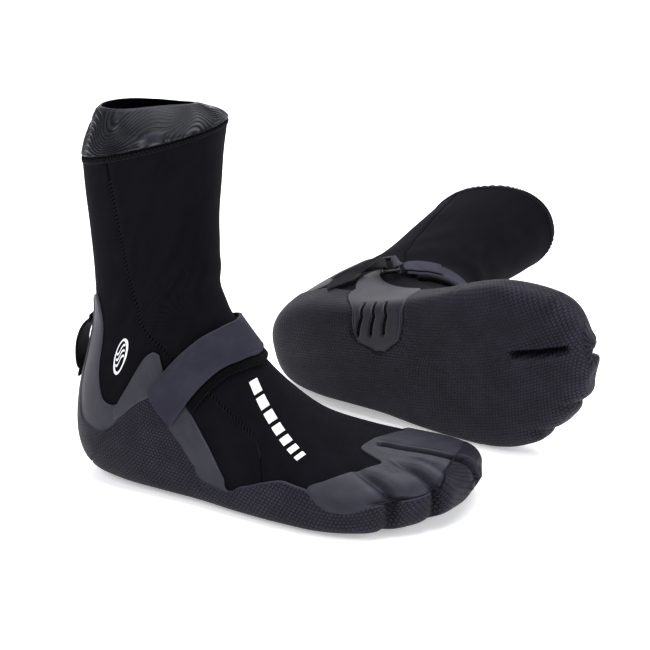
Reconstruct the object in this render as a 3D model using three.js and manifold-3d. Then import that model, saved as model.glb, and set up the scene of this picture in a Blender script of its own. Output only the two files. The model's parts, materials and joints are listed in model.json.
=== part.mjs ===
// A pair of split-toe neoprene boots. The right boot stands on its sole and the
// left boot, its mirror image, lies on its outer side with the sole facing front.
//
// Every skin of a boot follows one surface, boot(s, a): s runs from the toe tip (0)
// along the foot and up the shaft to the cuff seam (1), and a turns round the
// section, 0 at the sole and heel line, 90 outer side, 180 instep, 270 inner side.
// Millimetres, degrees, +X to the toes, +Y to the inner side, +Z up.
import * as THREE from "three";
import { mergeVertices } from "three/addons/utils/BufferGeometryUtils.js";
import Module from "manifold-3d";

const wasm = await Module();
wasm.setup();

// ---- Sizes that can be set ----
const bootLength = 272;
const ballWidth = 114;
const seamHeight = 249; // front of the shaft, where the cuff is sewn on
const neopreneWall = 3;
const gap = 0.3; // clearance between pieces that touch
const rubberWall = 1.7; // moulded rubber on the sides
const treadWall = 3; // moulded rubber under the foot
const patchWall = 1.4; // smooth overlays
const tapeWall = 0.6;
const dividerWall = 4;
const toeSlotWidth = 3.4;
const splitLine = 8; // y of the gap between big toe and the rest
const archSlotWidth = 1.6;
const archSlotPitch = 9;
const cuffHeight = 28; // at the back of the leg
const cuffDip = 0.46; // share of its height that the cuff loses over the shin
const cuffTaper = 0.3; // share of its girth that the cuff loses
const cuffWall = 3;
const stitchWall = 0.8;
const stitchLift = 0.5; // the overlock stitching above the neoprene
const strapWall = 1.8;
const hookWall = 0.7;
const strapWidth = 30;
const padOverhang = 7; // how far the loop pad shows below the strap
const wire = 3; // ring bar diameter
const ringGap = 7; // clear opening of the ring, along the strap
const webbing = 1.5;
const returnTabTurn = 22; // degrees of the section that the folded-back strap end covers
const heelLoopWidth = 20;
const heelLoopDepth = 11;
const printWall = 0.4;
const emblemDiameter = 20;
const emblemBand = 3;
const leftYaw = -17.8; // how the left boot lies
const leftRoll = -82.4;
const leftPitch = -10.3;
const leftForward = 67; // left boot's heel from the right boot's heel
const leftInward = 155;

// ---- The boot's surface ----
// One row per station: sole x, z; instep x, z; half width; sideways shift;
// height share of the widest point; squareness below and above that point.
const stations = [
  [271, 19.5, 271.5, 27, 15, 12, 0.45, 2.4, 2.3],
  [268, 14.5, 269.5, 32, 25, 12, 0.42, 2.8, 2.5],
  [259, 10.5, 262, 36, 35, 11, 0.4, 3.4, 2.6],
  [240, 6.5, 246, 39, 47, 6, 0.38, 4.2, 2.6],
  [215, 4.5, 221, 42, 57, 0, 0.34, 4.8, 2.4],
  [190, 3, 194, 49, 57, -3, 0.3, 5, 2.2],
  [160, 3, 168, 60, 52, -4.5, 0.27, 5, 2],
  [130, 3, 147, 76, 46.5, -4, 0.26, 5, 2],
  [100, 3, 131, 92, 41, -2.5, 0.27, 4.6, 2],
  [70, 3, 118, 108, 38, -1.5, 0.3, 4.2, 2],
  [40, 4, 108, 122, 36.5, -1, 0.36, 3.6, 2.1],
  [17, 9, 103.5, 135, 35, -1, 0.42, 3, 2.2],
  [6, 26, 101.5, 147, 34.5, -1, 0.46, 2.6, 2.2],
  [5.5, 55, 101, 158, 34, -1, 0.48, 2.4, 2.2],
  [12, 85, 100.5, 168, 33, -0.5, 0.5, 2.3, 2.2],
  [17, 110, 100.5, 181, 32.5, 0, 0.5, 2.2, 2.2],
  [17, 140, 101, 196, 32.5, 0.5, 0.5, 2.2, 2.2],
  [15, 170, 102.5, 213, 34, 1, 0.5, 2.2, 2.2],
  [12.5, 199, 104.5, 232, 35.5, 1, 0.5, 2.2, 2.2],
  [11, 221, 106.5, 249, 36.5, 1.5, 0.5, 2.2, 2.2],
];
const stationSize = { length: 272, width: 114, height: 249 };
const growX = bootLength / stationSize.length;
const growY = ballWidth / stationSize.width;
const growZ = seamHeight / stationSize.height;
const radians = THREE.MathUtils.degToRad;
const clamp = THREE.MathUtils.clamp;

// Catmull-Rom value of one column, for s from 0 to 1.
function column(index, s) {
  const last = stations.length - 1;
  const place = clamp(s, 0, 1) * last;
  const k = Math.min(Math.floor(place), last - 1);
  const t = place - k;
  const value = (i) => stations[i][index];
  const before = k > 0 ? value(k - 1) : 2 * value(0) - value(1);
  const after = k < last - 1 ? value(k + 2) : 2 * value(last) - value(last - 1);
  const rise = (value(k + 1) - before) / 2;
  const run = (after - value(k)) / 2;
  const step = value(k + 1) - value(k);
  return value(k) + t * (rise + t * (3 * step - 2 * rise - run + t * (rise + run - 2 * step)));
}

function boot(s, degrees) {
  const a = radians(degrees);
  const squareness = Math.cos(a) > 0 ? column(7, s) : column(8, s);
  const side = Math.sign(Math.sin(a)) * Math.abs(Math.sin(a)) ** (2 / squareness);
  const rise = Math.abs(Math.cos(a)) ** (2 / squareness);
  const widest = column(6, s);
  const height = Math.cos(a) > 0 ? widest * (1 - rise) : widest + (1 - widest) * rise;
  const x = THREE.MathUtils.lerp(column(0, s), column(2, s), height);
  const z = THREE.MathUtils.lerp(column(1, s), column(3, s), height);
  return new THREE.Vector3(x * growX, (column(5, s) - side * column(4, s)) * growY, z * growZ);
}

function bootNormal(s, a) {
  const ds = 0.002;
  const da = 0.5;
  const along = boot(clamp(s + ds, 0, 1), a).sub(boot(clamp(s - ds, 0, 1), a));
  const round = boot(s, a + da).sub(boot(s, a - da));
  return round.cross(along).normalize();
}

// Past the cuff seam the surface runs straight on along the shaft.
const shaftRun = 500; // millimetres for one unit of s there
const shaftAxis = boot(1, 0).add(boot(1, 180)).sub(boot(0.97, 0)).sub(boot(0.97, 180)).normalize();
function skin(s, a, offset) {
  const beyond = Math.max(s - 1, 0) * shaftRun;
  return boot(s, a).addScaledVector(bootNormal(Math.min(s, 1), a), offset).addScaledVector(shaftAxis, beyond);
}

// Straight-line value through [place, value] pairs.
function through(pairs, at) {
  const k = pairs.findIndex((pair) => pair[0] > at);
  if (k < 1) return k === 0 ? pairs[0][1] : pairs.at(-1)[1];
  const [p, q] = [pairs[k - 1], pairs[k]];
  return THREE.MathUtils.lerp(p[1], q[1], (at - p[0]) / (q[0] - p[0]));
}

// ---- Closed solids ----
const along = 18; // facets from toe to cuff seam
const round = 14; // facets round a section
const far = 400; // beyond anything
const openEnd = 30; // how far a cutter runs on past the cuff seam
const cutInside = -5.5; // a region reaches this far below the surface
const cutOutside = 8; // and this far above it

function solid(points, triangles) {
  const make = (faces) =>
    new wasm.Manifold(
      new wasm.Mesh({
        numProp: 3,
        vertProperties: new Float32Array(points.flatMap((p) => [p.x, p.y, p.z])),
        triVerts: new Uint32Array(faces.flat()),
      }),
    );
  const first = make(triangles);
  return first.volume() > 0 ? first : make(triangles.map(([i, j, k]) => [i, k, j]));
}

function solidOf(geometry) {
  const bare = geometry.clone();
  bare.deleteAttribute("normal");
  bare.deleteAttribute("uv");
  const merged = mergeVertices(bare, 1e-4);
  const place = merged.getAttribute("position");
  const points = [];
  for (let i = 0; i < place.count; i += 1) points.push(new THREE.Vector3().fromBufferAttribute(place, i));
  const triangles = [];
  for (let i = 0; i < merged.index.count; i += 3) {
    triangles.push([0, 1, 2].map((corner) => merged.index.getX(i + corner)));
  }
  return solid(points, triangles);
}

// Triangles between two rows of equal length; a closed row joins its end to its start.
function strip(from, to, count, closed) {
  const faces = [];
  const quads = closed ? count : count - 1;
  for (let j = 0; j < quads; j += 1) {
    const next = (j + 1) % count;
    faces.push([from + j, from + next, to + next], [from + j, to + next, to + j]);
  }
  return faces;
}

// All that lies inside the boot's surface at an offset; the shaft's end runs on past the seam.
function core(offset, runOn) {
  const stops = [];
  for (let i = 0; i <= along; i += 1) stops.push(i / along);
  if (runOn) stops.push(1 + runOn / shaftRun);
  const depth = typeof offset === "function" ? offset : () => offset;
  const rings = stops.map((s) => {
    const ring = [];
    for (let j = 0; j < round; j += 1) ring.push(skin(s, (360 * j) / round, depth(s, (360 * j) / round)));
    return ring;
  });
  const points = rings.flat();
  const faces = [];
  for (let i = 0; i < rings.length - 1; i += 1) faces.push(...strip(i * round, (i + 1) * round, round, true));
  for (const ring of [0, rings.length - 1]) {
    points.push(rings[ring].reduce((sum, p) => sum.add(p), new THREE.Vector3()).divideScalar(round));
    for (let j = 0; j < round; j += 1) {
      const pair = [ring * round + j, ring * round + ((j + 1) % round)];
      faces.push(ring ? [pair[0], pair[1], points.length - 1] : [pair[1], pair[0], points.length - 1]);
    }
  }
  return solid(points, faces);
}

// A closed slab over the patch at(u, v) -> [s, a], between two offsets.
function slab(at, countU, countV, low = cutInside, high = cutOutside) {
  const width = countV + 1;
  const points = [];
  for (const offset of [low, high]) {
    for (let i = 0; i <= countU; i += 1) {
      for (let j = 0; j <= countV; j += 1) {
        const [s, a] = at(i / countU, j / countV);
        points.push(skin(s, a, offset));
      }
    }
  }
  const layer = points.length / 2;
  const faces = [];
  for (let i = 0; i < countU; i += 1) {
    faces.push(...strip(i * width, (i + 1) * width, width, false).map(([p, q, r]) => [p, r, q]));
    faces.push(...strip(layer + i * width, layer + (i + 1) * width, width, false));
  }
  const border = [];
  for (let j = 0; j < countV; j += 1) border.push(j);
  for (let i = 0; i < countU; i += 1) border.push(i * width + countV);
  for (let j = countV; j > 0; j -= 1) border.push(countU * width + j);
  for (let i = countU; i > 0; i -= 1) border.push(i * width);
  border.forEach((p, k) => {
    const q = border[(k + 1) % border.length];
    faces.push([p, q, layer + q], [p, layer + q, layer + p]);
  });
  return solid(points, faces);
}

// A band swept through rings in turn and back to the first, such as a cuff.
function hoop(rings) {
  const count = rings[0].length;
  const faces = [];
  rings.forEach((_, i) => faces.push(...strip(i * count, ((i + 1) % rings.length) * count, count, true)));
  return solid(rings.flat(), faces);
}

// An outline in the x-z plane with its thickness along y, centred.
function prism(outline, holes, thickness) {
  const shape = new THREE.Shape(outline);
  shape.holes = holes.map((points) => new THREE.Path(points));
  const extruded = new THREE.ExtrudeGeometry(shape, { depth: thickness, bevelEnabled: false });
  return extruded.rotateX(Math.PI / 2).translate(0, thickness / 2, 0);
}

function block(low, high) {
  const size = high.map((value, i) => value - low[i]);
  const middle = high.map((value, i) => (value + low[i]) / 2);
  return solidOf(new THREE.BoxGeometry(...size).translate(...middle));
}

// Cuts leave crumbs where two surfaces nearly meet: the piece is the largest body.
function largest(shape) {
  return shape.decompose().sort((p, q) => q.volume() - p.volume())[0];
}

// ---- Patches of the surface, as at(u, v) -> [s, a] ----
// Between two angles that depend on s.
function lengthwise(sFrom, sTo, aFrom, aTo) {
  return (u, v) => {
    const s = THREE.MathUtils.lerp(sFrom, sTo, u);
    return [s, THREE.MathUtils.lerp(aFrom(s), aTo(s), v)];
  };
}

// Between two places s that depend on the angle.
function crosswise(aFrom, aTo, sFrom, sTo) {
  return (u, v) => {
    const a = THREE.MathUtils.lerp(aFrom, aTo, u);
    return [THREE.MathUtils.lerp(sFrom(a), sTo(a), v), a];
  };
}

// ---- Skins: the boot's layers, each inside the next ----
const underfoot = (s, a) => clamp(1.6 * Math.cos(radians(a)), 0, 1) * clamp(1 - (s - 0.6) * 12, 0, 1);
const rubberTop = (s, a) => gap + rubberWall + (treadWall - rubberWall) * underfoot(s, a);
const shell = core(0, 0).subtract(core(-neopreneWall, openEnd));
const aboveGround = block([-far, -far, 0], [far, far, far]);
const rubberSkin = core(rubberTop, 0).subtract(core(gap, openEnd)).intersect(aboveGround);
const patchSkin = core(gap + patchWall, 0).subtract(core(gap, openEnd));

// ---- Lines on the surface ----
const edgeA = 0.35; // half of a gap between two pieces of one skin, degrees
const edgeS = 0.0006; // the same along the boot
const bedEdge = 3 * edgeA; // the gap round the footbed panel, where the sole curves most
const perDegree = 0.003; // step along s that goes with one degree of growth
const lineReach = 0.0024; // how far along s a steep line is followed for one degree
const soleEdge = 60; // where the footbed panel is sewn to the uppers
const footbedEnd = 0.56;
// Seam between front and rear panels, [s, a]; the inner side has its mirror image.
const seamStart = 0.34;
const seam = [[0.34, 100], [0.352, 116], [0.375, 127], [0.45, 127], [0.54, 122], [0.6, 116], [0.73, 94], [0.82, 82], [0.9, 75], [1, 68], [1.1, 60]];
// Top edge of the textured rubber, [s, a].
const rubberEdge = [[0.118, 150], [0.126, 114], [0.17, 106], [0.2, 104], [0.226, 96], [0.245, 96], [0.265, 101], [0.285, 111], [0.31, 111], [0.34, 102], [0.36, 94], [0.385, 88], [0.415, 88], [0.48, 98], [0.555, 102], [0.575, 96], [0.592, 72], [0.615, 60], [0.66, 42], [0.74, 36], [0.815, 30]];
const bumperEnd = 0.112; // the rubber goes right round the toes up to here
const counterTop = 0.815;
const innerRubberEdge = [[0.118, 150], [0.126, 114], [0.17, 108], [0.24, 105], [0.3, 106], [0.34, 102], [0.4, 97], [0.5, 90], [0.56, 84], [0.592, 70], [0.615, 60], [0.66, 42], [0.74, 36], [0.815, 30]];
const capFront = [[94, 0.24], [105, 0.19], [110, 0.15], [114, 0.13], [130, 0.121], [240, 0.121], [250, 0.15], [256, 0.19], [266, 0.24]];
const capRear = [[94, 0.272], [102, 0.274], [111, 0.283], [125, 0.262], [140, 0.239], [159, 0.208], [169, 0.245], [180, 0.238], [192, 0.226], [215, 0.212], [240, 0.225], [255, 0.25], [266, 0.27]];
const overlayFront = [[0.598, 84], [0.62, 79], [0.642, 72], [0.7, 64], [0.75, 58], [0.8, 44], [0.815, 40]];
const lobeLow = [[68, 0.59], [84, 0.585], [96, 0.57], [104, 0.55], [112, 0.54]];
const lobeHigh = [[68, 0.63], [79, 0.622], [84, 0.606], [94, 0.6], [105, 0.594], [111, 0.582], [112, 0.56]];
const wedgeTop = [[0.386, 90], [0.434, 104], [0.472, 111], [0.5, 114]];
const archFront = [[3, 0.385], [10, 0.36], [36, 0.35], [60, 0.35], [100, 0.365], [104, 0.38]];
const archRear = [[3, 0.4], [10, 0.425], [52, 0.434], [75, 0.455], [90, 0.5], [97, 0.57], [104, 0.59]];
const strapPath = [[101, 0.532], [120, 0.525], [140, 0.508], [160, 0.482], [180, 0.467], [200, 0.478], [220, 0.503], [240, 0.53], [270, 0.57]];
const perS = 450; // millimetres of surface for one unit of s
const strapHalf = (1.1 * strapWidth) / 2 / perS;
const padBelow = padOverhang / perS;
const padFrom = 113;
const padTo = 236;
const strapFrom = 101;
const strapTo = 241;
const ringTurn = 250;
const ringLead = 8; // the strap's direction at the ring is taken over this many degrees
const archSlotMiddle = 0.395;
const archSlotFrom = -14;
const archSlotTo = -76;
const archSlotCentre = -42; // the slots bend away from here
const archSlotBend = 0.008 / 30; // step along s for each degree
const tapeTurn = 8; // half the tape's width, degrees
const tapeSlack = 1.6;
const dividerRear = 213;
const dividerFront = 262;
const capSlotRear = 219;
const capSlotFront = 256;
const soleSlotRear = 212;
const soleSlotFront = 262;
const slotParting = 25; // height between the slot in the sole and the slot in the toe cap
const stitchFrom = 0.977;
const stitchTo = 0.992;
const loopLow = 0.695;
const loopHigh = 0.8;
const emblemX = 46;
const emblemZ = 96;
const markFrom = 0.3;
const markTo = 0.4;
const markWidth = 10; // degrees
const markLine = (s) => 133 + (s - markFrom) * 190;
const padWall = 1.5;
const mirrored = (line) => (s) => 360 - line(s);
// The line moved outwards by grow degrees, and as far along s where it is steep.
const spread = (line, grow) => (s) => {
  const step = Math.abs(grow) * lineReach;
  const near = [s - step, s, s + step].map(line);
  return (grow > 0 ? Math.max(...near) : Math.min(...near)) + grow;
};
const seamLine = (s) => through(seam, s);
const rubberLine = (s) => through(rubberEdge, s);
const innerRubberLine = (s) => through(innerRubberEdge, s);
const strapLine = (a) => through(strapPath, a);

// ---- Regions of the surface that a piece fills, larger or smaller by grow degrees ----
const toeTip = boot(0.04, 90).x; // the rings of the surface stop just short of the toe's nose
const nose = block([toeTip, -far, -far], [far, far, far]);

function bedRegion(grow) {
  return slab(lengthwise(0, footbedEnd + grow * perDegree, () => -soleEdge - grow, () => soleEdge + grow), 9, 5);
}

function frontRegion(grow) {
  const low = (s) => -spread((place) => -seamLine(place), grow)(s);
  const legs = slab(lengthwise(seamStart - grow * perDegree, 1.05, low, mirrored(low)), 11, 4);
  const toes = slab(lengthwise(0, seamStart + grow * perDegree, () => soleEdge - 2, () => 362 - soleEdge), 4, 6);
  return legs.add(toes).subtract(bedRegion(bedEdge)).add(nose);
}

function treadRegion(grow) {
  const outer = spread(rubberLine, grow);
  const inner = (s) => -spread(innerRubberLine, grow)(s);
  const end = counterTop + grow * perDegree;
  const outerSide = slab(lengthwise(bumperEnd, end, () => -2, outer), 20, 2);
  const innerSide = slab(lengthwise(bumperEnd, end, inner, () => 2), 14, 2);
  const front = bumperEnd + 0.004 + grow * perDegree;
  const bumperOuter = slab(lengthwise(0, front, () => -2, () => 182), 2, 5);
  const bumperInner = slab(lengthwise(0, front, () => 178, () => 362), 2, 5);
  return outerSide.add(innerSide).add(bumperOuter).add(bumperInner).add(nose);
}

function archRegion(grow) {
  const low = (a) => through(archFront, -a) - grow * perDegree;
  const high = (a) => through(archRear, -a) + grow * perDegree;
  return slab(crosswise(-3 + grow, -104 - grow, low, high), 10, 2);
}

function toeCapRegion() {
  return slab(crosswise(94, 266, (a) => through(capFront, a), (a) => through(capRear, a)), 16, 2);
}

function strapRegion(aFrom, aTo, below, above) {
  const low = (a) => strapLine(a) - below;
  const high = (a) => strapLine(a) + above;
  return slab(crosswise(aFrom, aTo, low, high), Math.ceil((aTo - aFrom) / 16), 2);
}

// Lens-shaped cut from xFrom to xTo on the line between the toes.
function toeSlot(xFrom, xTo, zFrom, zTo) {
  const half = toeSlotWidth / 2;
  const lens = new THREE.Shape();
  lens.moveTo(xFrom, splitLine);
  lens.quadraticCurveTo((xFrom + xTo) / 2, splitLine - 2 * half, xTo, splitLine);
  lens.quadraticCurveTo((xFrom + xTo) / 2, splitLine + 2 * half, xFrom, splitLine);
  const cut = new THREE.ExtrudeGeometry(lens, { depth: zTo - zFrom, bevelEnabled: false, curveSegments: 6 });
  return solidOf(cut.translate(0, 0, zFrom));
}

// ---- Neoprene: front and rear uppers, footbed, the divider between the toes, seam tapes ----
function neoprenePieces() {
  const inside = -neopreneWall - gap;
  const tapePatch = lengthwise(0.37, 0.985, (s) => seamLine(s) - tapeTurn, (s) => seamLine(s) + tapeTurn);
  const tape = slab(tapePatch, 9, 1, inside - tapeSlack - tapeWall, inside - tapeSlack);
  const innerTapePatch = (u, v) => [tapePatch(u, v)[0], 360 - tapePatch(u, v)[1]];
  const dividerBlock = block(
    [dividerRear, splitLine - dividerWall / 2, -far],
    [dividerFront, splitLine + dividerWall / 2, far],
  );
  return {
    front_panel: [shell.intersect(frontRegion(-edgeA)), "neoprene"],
    rear_panel: [shell.subtract(frontRegion(edgeA)).subtract(bedRegion(bedEdge)), "neoprene"],
    footbed_panel: [shell.intersect(bedRegion(-edgeA)).subtract(nose.translate([-2 * gap, 0, 0])), "neoprene"],
    toe_divider: [core(inside, 0).intersect(dividerBlock), "neoprene"],
    outer_seam_tape: [tape, "tape"],
    inner_seam_tape: [slab(innerTapePatch, 9, 1, inside - tapeSlack - tapeWall, inside - tapeSlack), "tape"],
  };
}

// ---- Moulded rubber ----
function rubberPieces() {
  const pad = strapRegion(padFrom - 0.6, padTo + 0.6, strapHalf + padBelow + edgeS, strapHalf);
  const free = patchSkin.subtract(treadRegion(edgeA)).subtract(pad);
  const strips = (side) => {
    const back = slab(lengthwise(0.6, counterTop, (s) => rubberLine(s), (s) => through(overlayFront, s)), 8, 1);
    const lobe = slab(crosswise(68, 112, (a) => through(lobeLow, a), (a) => through(lobeHigh, a)), 7, 1);
    const region = back.add(lobe);
    return side === "outer" ? region : back.mirror([0, 1, 0]);
  };
  const wedge = slab(lengthwise(0.386, 0.5, (s) => rubberLine(s) - 6, (s) => through(wedgeTop, s)), 5, 1);
  const slots = [-1, 0, 1].map((k) => {
    const s = archSlotMiddle + (k * archSlotPitch) / perS;
    const bend = (a) => s + archSlotBend * Math.abs(a - archSlotCentre);
    const half = archSlotWidth / 2 / perS;
    return slab(crosswise(archSlotFrom, archSlotTo, (a) => bend(a) - half, (a) => bend(a) + half), 4, 1);
  });
  const outsole = rubberSkin
    .intersect(treadRegion(-edgeA))
    .subtract(archRegion(edgeA))
    .subtract(toeSlot(soleSlotRear, soleSlotFront, -far, slotParting));
  return {
    outsole: [outsole, "tread"],
    arch_patch: [slots.reduce((patch, slot) => patch.subtract(slot), rubberSkin.intersect(archRegion(-edgeA))), "rubber"],
    toe_cap: [free.intersect(toeCapRegion()).subtract(toeSlot(capSlotRear, capSlotFront, slotParting, far)), "rubber"],
    outer_heel_overlay: [free.intersect(strips("outer")), "rubber"],
    inner_heel_overlay: [free.subtract(archRegion(edgeA)).intersect(strips("inner")), "rubber"],
    side_wedge: [free.intersect(wedge), "rubber"],
  };
}

// ---- Cuff ----
function cuffPieces() {
  const turns = Array.from({ length: round }, (_, j) => (360 * j) / round);
  const base = turns.map((a) => skin(1, a, 0));
  const middle = base.reduce((sum, p) => sum.add(p), new THREE.Vector3()).divideScalar(round);
  const heightAt = (a) => cuffHeight * (1 - (cuffDip * (1 - Math.cos(radians(a)))) / 2);
  const ringAt = (v, depth) =>
    base.map((p, j) => {
      const out = p.clone().sub(middle);
      const reach = out.length() * (1 - cuffTaper * v ** 1.3) - depth;
      return out.normalize().multiplyScalar(reach).add(middle).addScaledVector(shaftAxis, gap + heightAt(turns[j]) * v);
    });
  const levels = [0, 0.2, 0.45, 0.7, 1];
  const outside = levels.map((v) => ringAt(v, 0));
  const inside = levels.map((v) => ringAt(v, cuffWall)).reverse();
  const stitchTop = stitchLift + stitchWall;
  const stitchRings = [[stitchFrom, stitchLift], [stitchFrom, stitchTop], [stitchTo, stitchTop], [stitchTo, stitchLift]];
  return {
    cuff_band: [hoop([...outside, ...inside]), "cuff"],
    cuff_stitching: [hoop(stitchRings.map(([s, offset]) => turns.map((a) => skin(s, a, offset)))), "thread"],
  };
}

// ---- Strap, ring and their tabs ----
// The ring's frame: x along the strap, y across it, z away from the boot.
function ringFrame() {
  const origin = boot(strapLine(ringTurn), ringTurn);
  const up = bootNormal(strapLine(ringTurn), ringTurn);
  const ahead = boot(strapLine(ringTurn - ringLead), ringTurn - ringLead).sub(origin);
  const sideways = up.clone().cross(ahead).normalize();
  return new THREE.Matrix4().makeBasis(sideways.clone().cross(up), sideways, up).setPosition(origin);
}

const barOffset = (ringGap + wire) / 2;
const tailLift = 0.5; // the webbing's sewn end above the rubber
const barClear = 1.6; // the ring bars' underside above the rubber and one layer of webbing
const barHeight = gap + rubberWall + webbing + barClear + wire / 2;
const loopSlack = 0.35;
const loopInside = (wire / 2) * Math.SQRT2 + loopSlack;

// A band's end folded round a ring bar at x = place.
function barLoop(place, width) {
  const circle = (radius) => Array.from({ length: 10 }, (_, i) => {
    const turn = (2 * Math.PI * i) / 10;
    return new THREE.Vector2(place + radius * Math.cos(turn), barHeight + radius * Math.sin(turn));
  });
  return solidOf(prism(circle(loopInside + webbing), [circle(loopInside)], width).applyMatrix4(ringFrame()));
}

function strapPieces() {
  const layer = (low, high) => core(high, 0).subtract(core(low, openEnd));
  const padTop = gap + padWall;
  const hookTop = padTop + gap + hookWall;
  const strapTop = hookTop + gap + strapWall;
  const loopWidth = strapWidth - 2;
  const tail = (low, from, to, half) => layer(low, low + webbing).intersect(strapRegion(from, to, half, half));
  return {
    strap_pad: [layer(gap, padTop).intersect(strapRegion(padFrom, padTo, strapHalf + padBelow, strapHalf - 0.004)), "pad"],
    hook_patch: [layer(padTop + gap, hookTop).intersect(strapRegion(padFrom + 2, padFrom + 26, strapHalf - 0.006, strapHalf - 0.008)), "hook"],
    instep_strap: [layer(hookTop + gap, strapTop).intersect(strapRegion(strapFrom, strapTo, strapHalf, strapHalf)), "strap"],
    strap_return_tab: [tail(strapTop + gap, strapTo - returnTabTurn, strapTo + 3.5, strapHalf - 0.003).add(barLoop(barOffset, loopWidth)), "strap"],
    ring_webbing: [tail(gap + rubberWall + tailLift, ringTurn + 4.5, ringTurn + 19, strapHalf - 0.003).add(barLoop(-barOffset, loopWidth)), "webbing"],
  };
}

function ringMesh(material) {
  const half = [barOffset + wire / 2, strapWidth / 2 + 1 + wire];
  const rectangle = (inset) => [[-1, -1], [1, -1], [1, 1], [-1, 1]].map(
    ([p, q]) => new THREE.Vector2(p * (half[0] - inset), q * (half[1] - inset)),
  );
  const shape = new THREE.Shape(rectangle(0));
  shape.holes = [new THREE.Path(rectangle(wire))];
  const ring = new THREE.Mesh(
    new THREE.ExtrudeGeometry(shape, { depth: wire, bevelEnabled: false }).translate(0, 0, barHeight - wire / 2),
    material,
  );
  ring.applyMatrix4(ringFrame());
  return ring;
}

// ---- Heel pull loop: a webbing band that stands off the heel in a D ----
function heelLoop() {
  const inner = [];
  const outer = [];
  for (let i = -1; i <= 9; i += 1) {
    const t = i / 8;
    const s = THREE.MathUtils.lerp(loopLow, loopHigh, t);
    const bulge = heelLoopDepth * Math.sin(Math.PI * clamp(t, 0, 1)) ** 0.6;
    const foot = rubberTop(s, 0) + 4 * gap;
    inner.push(skin(s, 0, foot + bulge));
    outer.push(skin(s, 0, foot + bulge + webbing));
  }
  const outline = [...inner, ...outer.reverse()].map((p) => new THREE.Vector2(p.x, p.z));
  return solidOf(prism(outline, [], heelLoopWidth));
}

// ---- Prints ----
function printPieces() {
  const layer = core(gap + printWall, 0).subtract(core(gap, openEnd));
  const badge = (radius) => solidOf(
    new THREE.CylinderGeometry(radius, radius, far, 12).translate(emblemX * growX, -far / 2, emblemZ * growZ),
  );
  const mark = slab(lengthwise(markFrom, markTo, markLine, (s) => markLine(s) + markWidth), 3, 1);
  return {
    side_emblem: [layer.intersect(badge(emblemDiameter / 2)).subtract(badge(emblemDiameter / 2 - emblemBand)), "print"],
    vamp_print: [layer.intersect(mark), "print"],
  };
}

// ---- One boot ----
const colours = {
  neoprene: [0x1c1b21, 0.85], tape: [0x2c2c30, 0.6], tread: [0x3a3942, 0.7], rubber: [0x46464f, 0.5],
  cuff: [0x23232c, 0.35], thread: [0x1a1a20, 0.7], pad: [0x121216, 0.9], hook: [0x101013, 0.9],
  strap: [0x40404a, 0.6], webbing: [0x0f0f12, 0.75], ring: [0x18181c, 0.4], print: [0xf0f0f0, 0.5],
};
const materials = Object.fromEntries(
  Object.entries(colours).map(([name, [color, roughness]]) => [name, new THREE.MeshStandardMaterial({ color, roughness, metalness: 0 })]),
);

function geometryOf(shape) {
  const mesh = largest(shape).getMesh();
  return new THREE.BufferGeometry()
    .setAttribute("position", new THREE.BufferAttribute(new Float32Array(mesh.vertProperties), 3))
    .setIndex(new THREE.BufferAttribute(new Uint32Array(mesh.triVerts), 1));
}

const pieces = {
  ...neoprenePieces(),
  ...rubberPieces(),
  ...cuffPieces(),
  ...strapPieces(),
  heel_pull_loop: [heelLoop(), "webbing"],
  ...printPieces(),
};

function makeBoot(side) {
  const group = new THREE.Group();
  for (const [name, [shape, material]] of Object.entries(pieces)) {
    const mesh = new THREE.Mesh(geometryOf(shape), materials[material]);
    mesh.name = `${side}_${name}`;
    group.add(mesh);
  }
  const ring = ringMesh(materials.ring);
  ring.name = `${side}_strap_ring`;
  group.add(ring);
  return group;
}

// ---- The pair ----
const right = makeBoot("right");
const left = makeBoot("left");
left.scale.y = -1; // mirror image
const lying = new THREE.Group();
lying.rotation.set(radians(leftRoll), radians(leftPitch), radians(leftYaw), "ZYX");
lying.add(left);
lying.updateMatrixWorld(true);
const reach = new THREE.Box3().setFromObject(lying, true);
lying.position.set(leftForward, leftInward, -reach.min.z);

const pair = new THREE.Group();
pair.add(right, lying);
pair.updateMatrixWorld(true);
const box = new THREE.Box3().setFromObject(pair, true);
pair.position.set(-(box.min.x + box.max.x) / 2, -(box.min.y + box.max.y) / 2, -box.min.z);

const boots = new THREE.Group();
boots.add(pair);
export default boots;
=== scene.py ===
"""A pair of split-toe neoprene boots: the right boot stands, the left boot lies on its outer side.

Each skin of a boot follows one surface. s runs from the toe tip (0) along the foot and up the
shaft to the cuff seam (1). a turns round the section in degrees: 0 sole and heel line, 90 outer
side, 180 instep, -90 inner side. Shapes are worked out in millimetres in a boot's own frame,
+X to the toes, +Y to the inner side, +Z up, and then placed in metres for each side.
"""

import json

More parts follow.
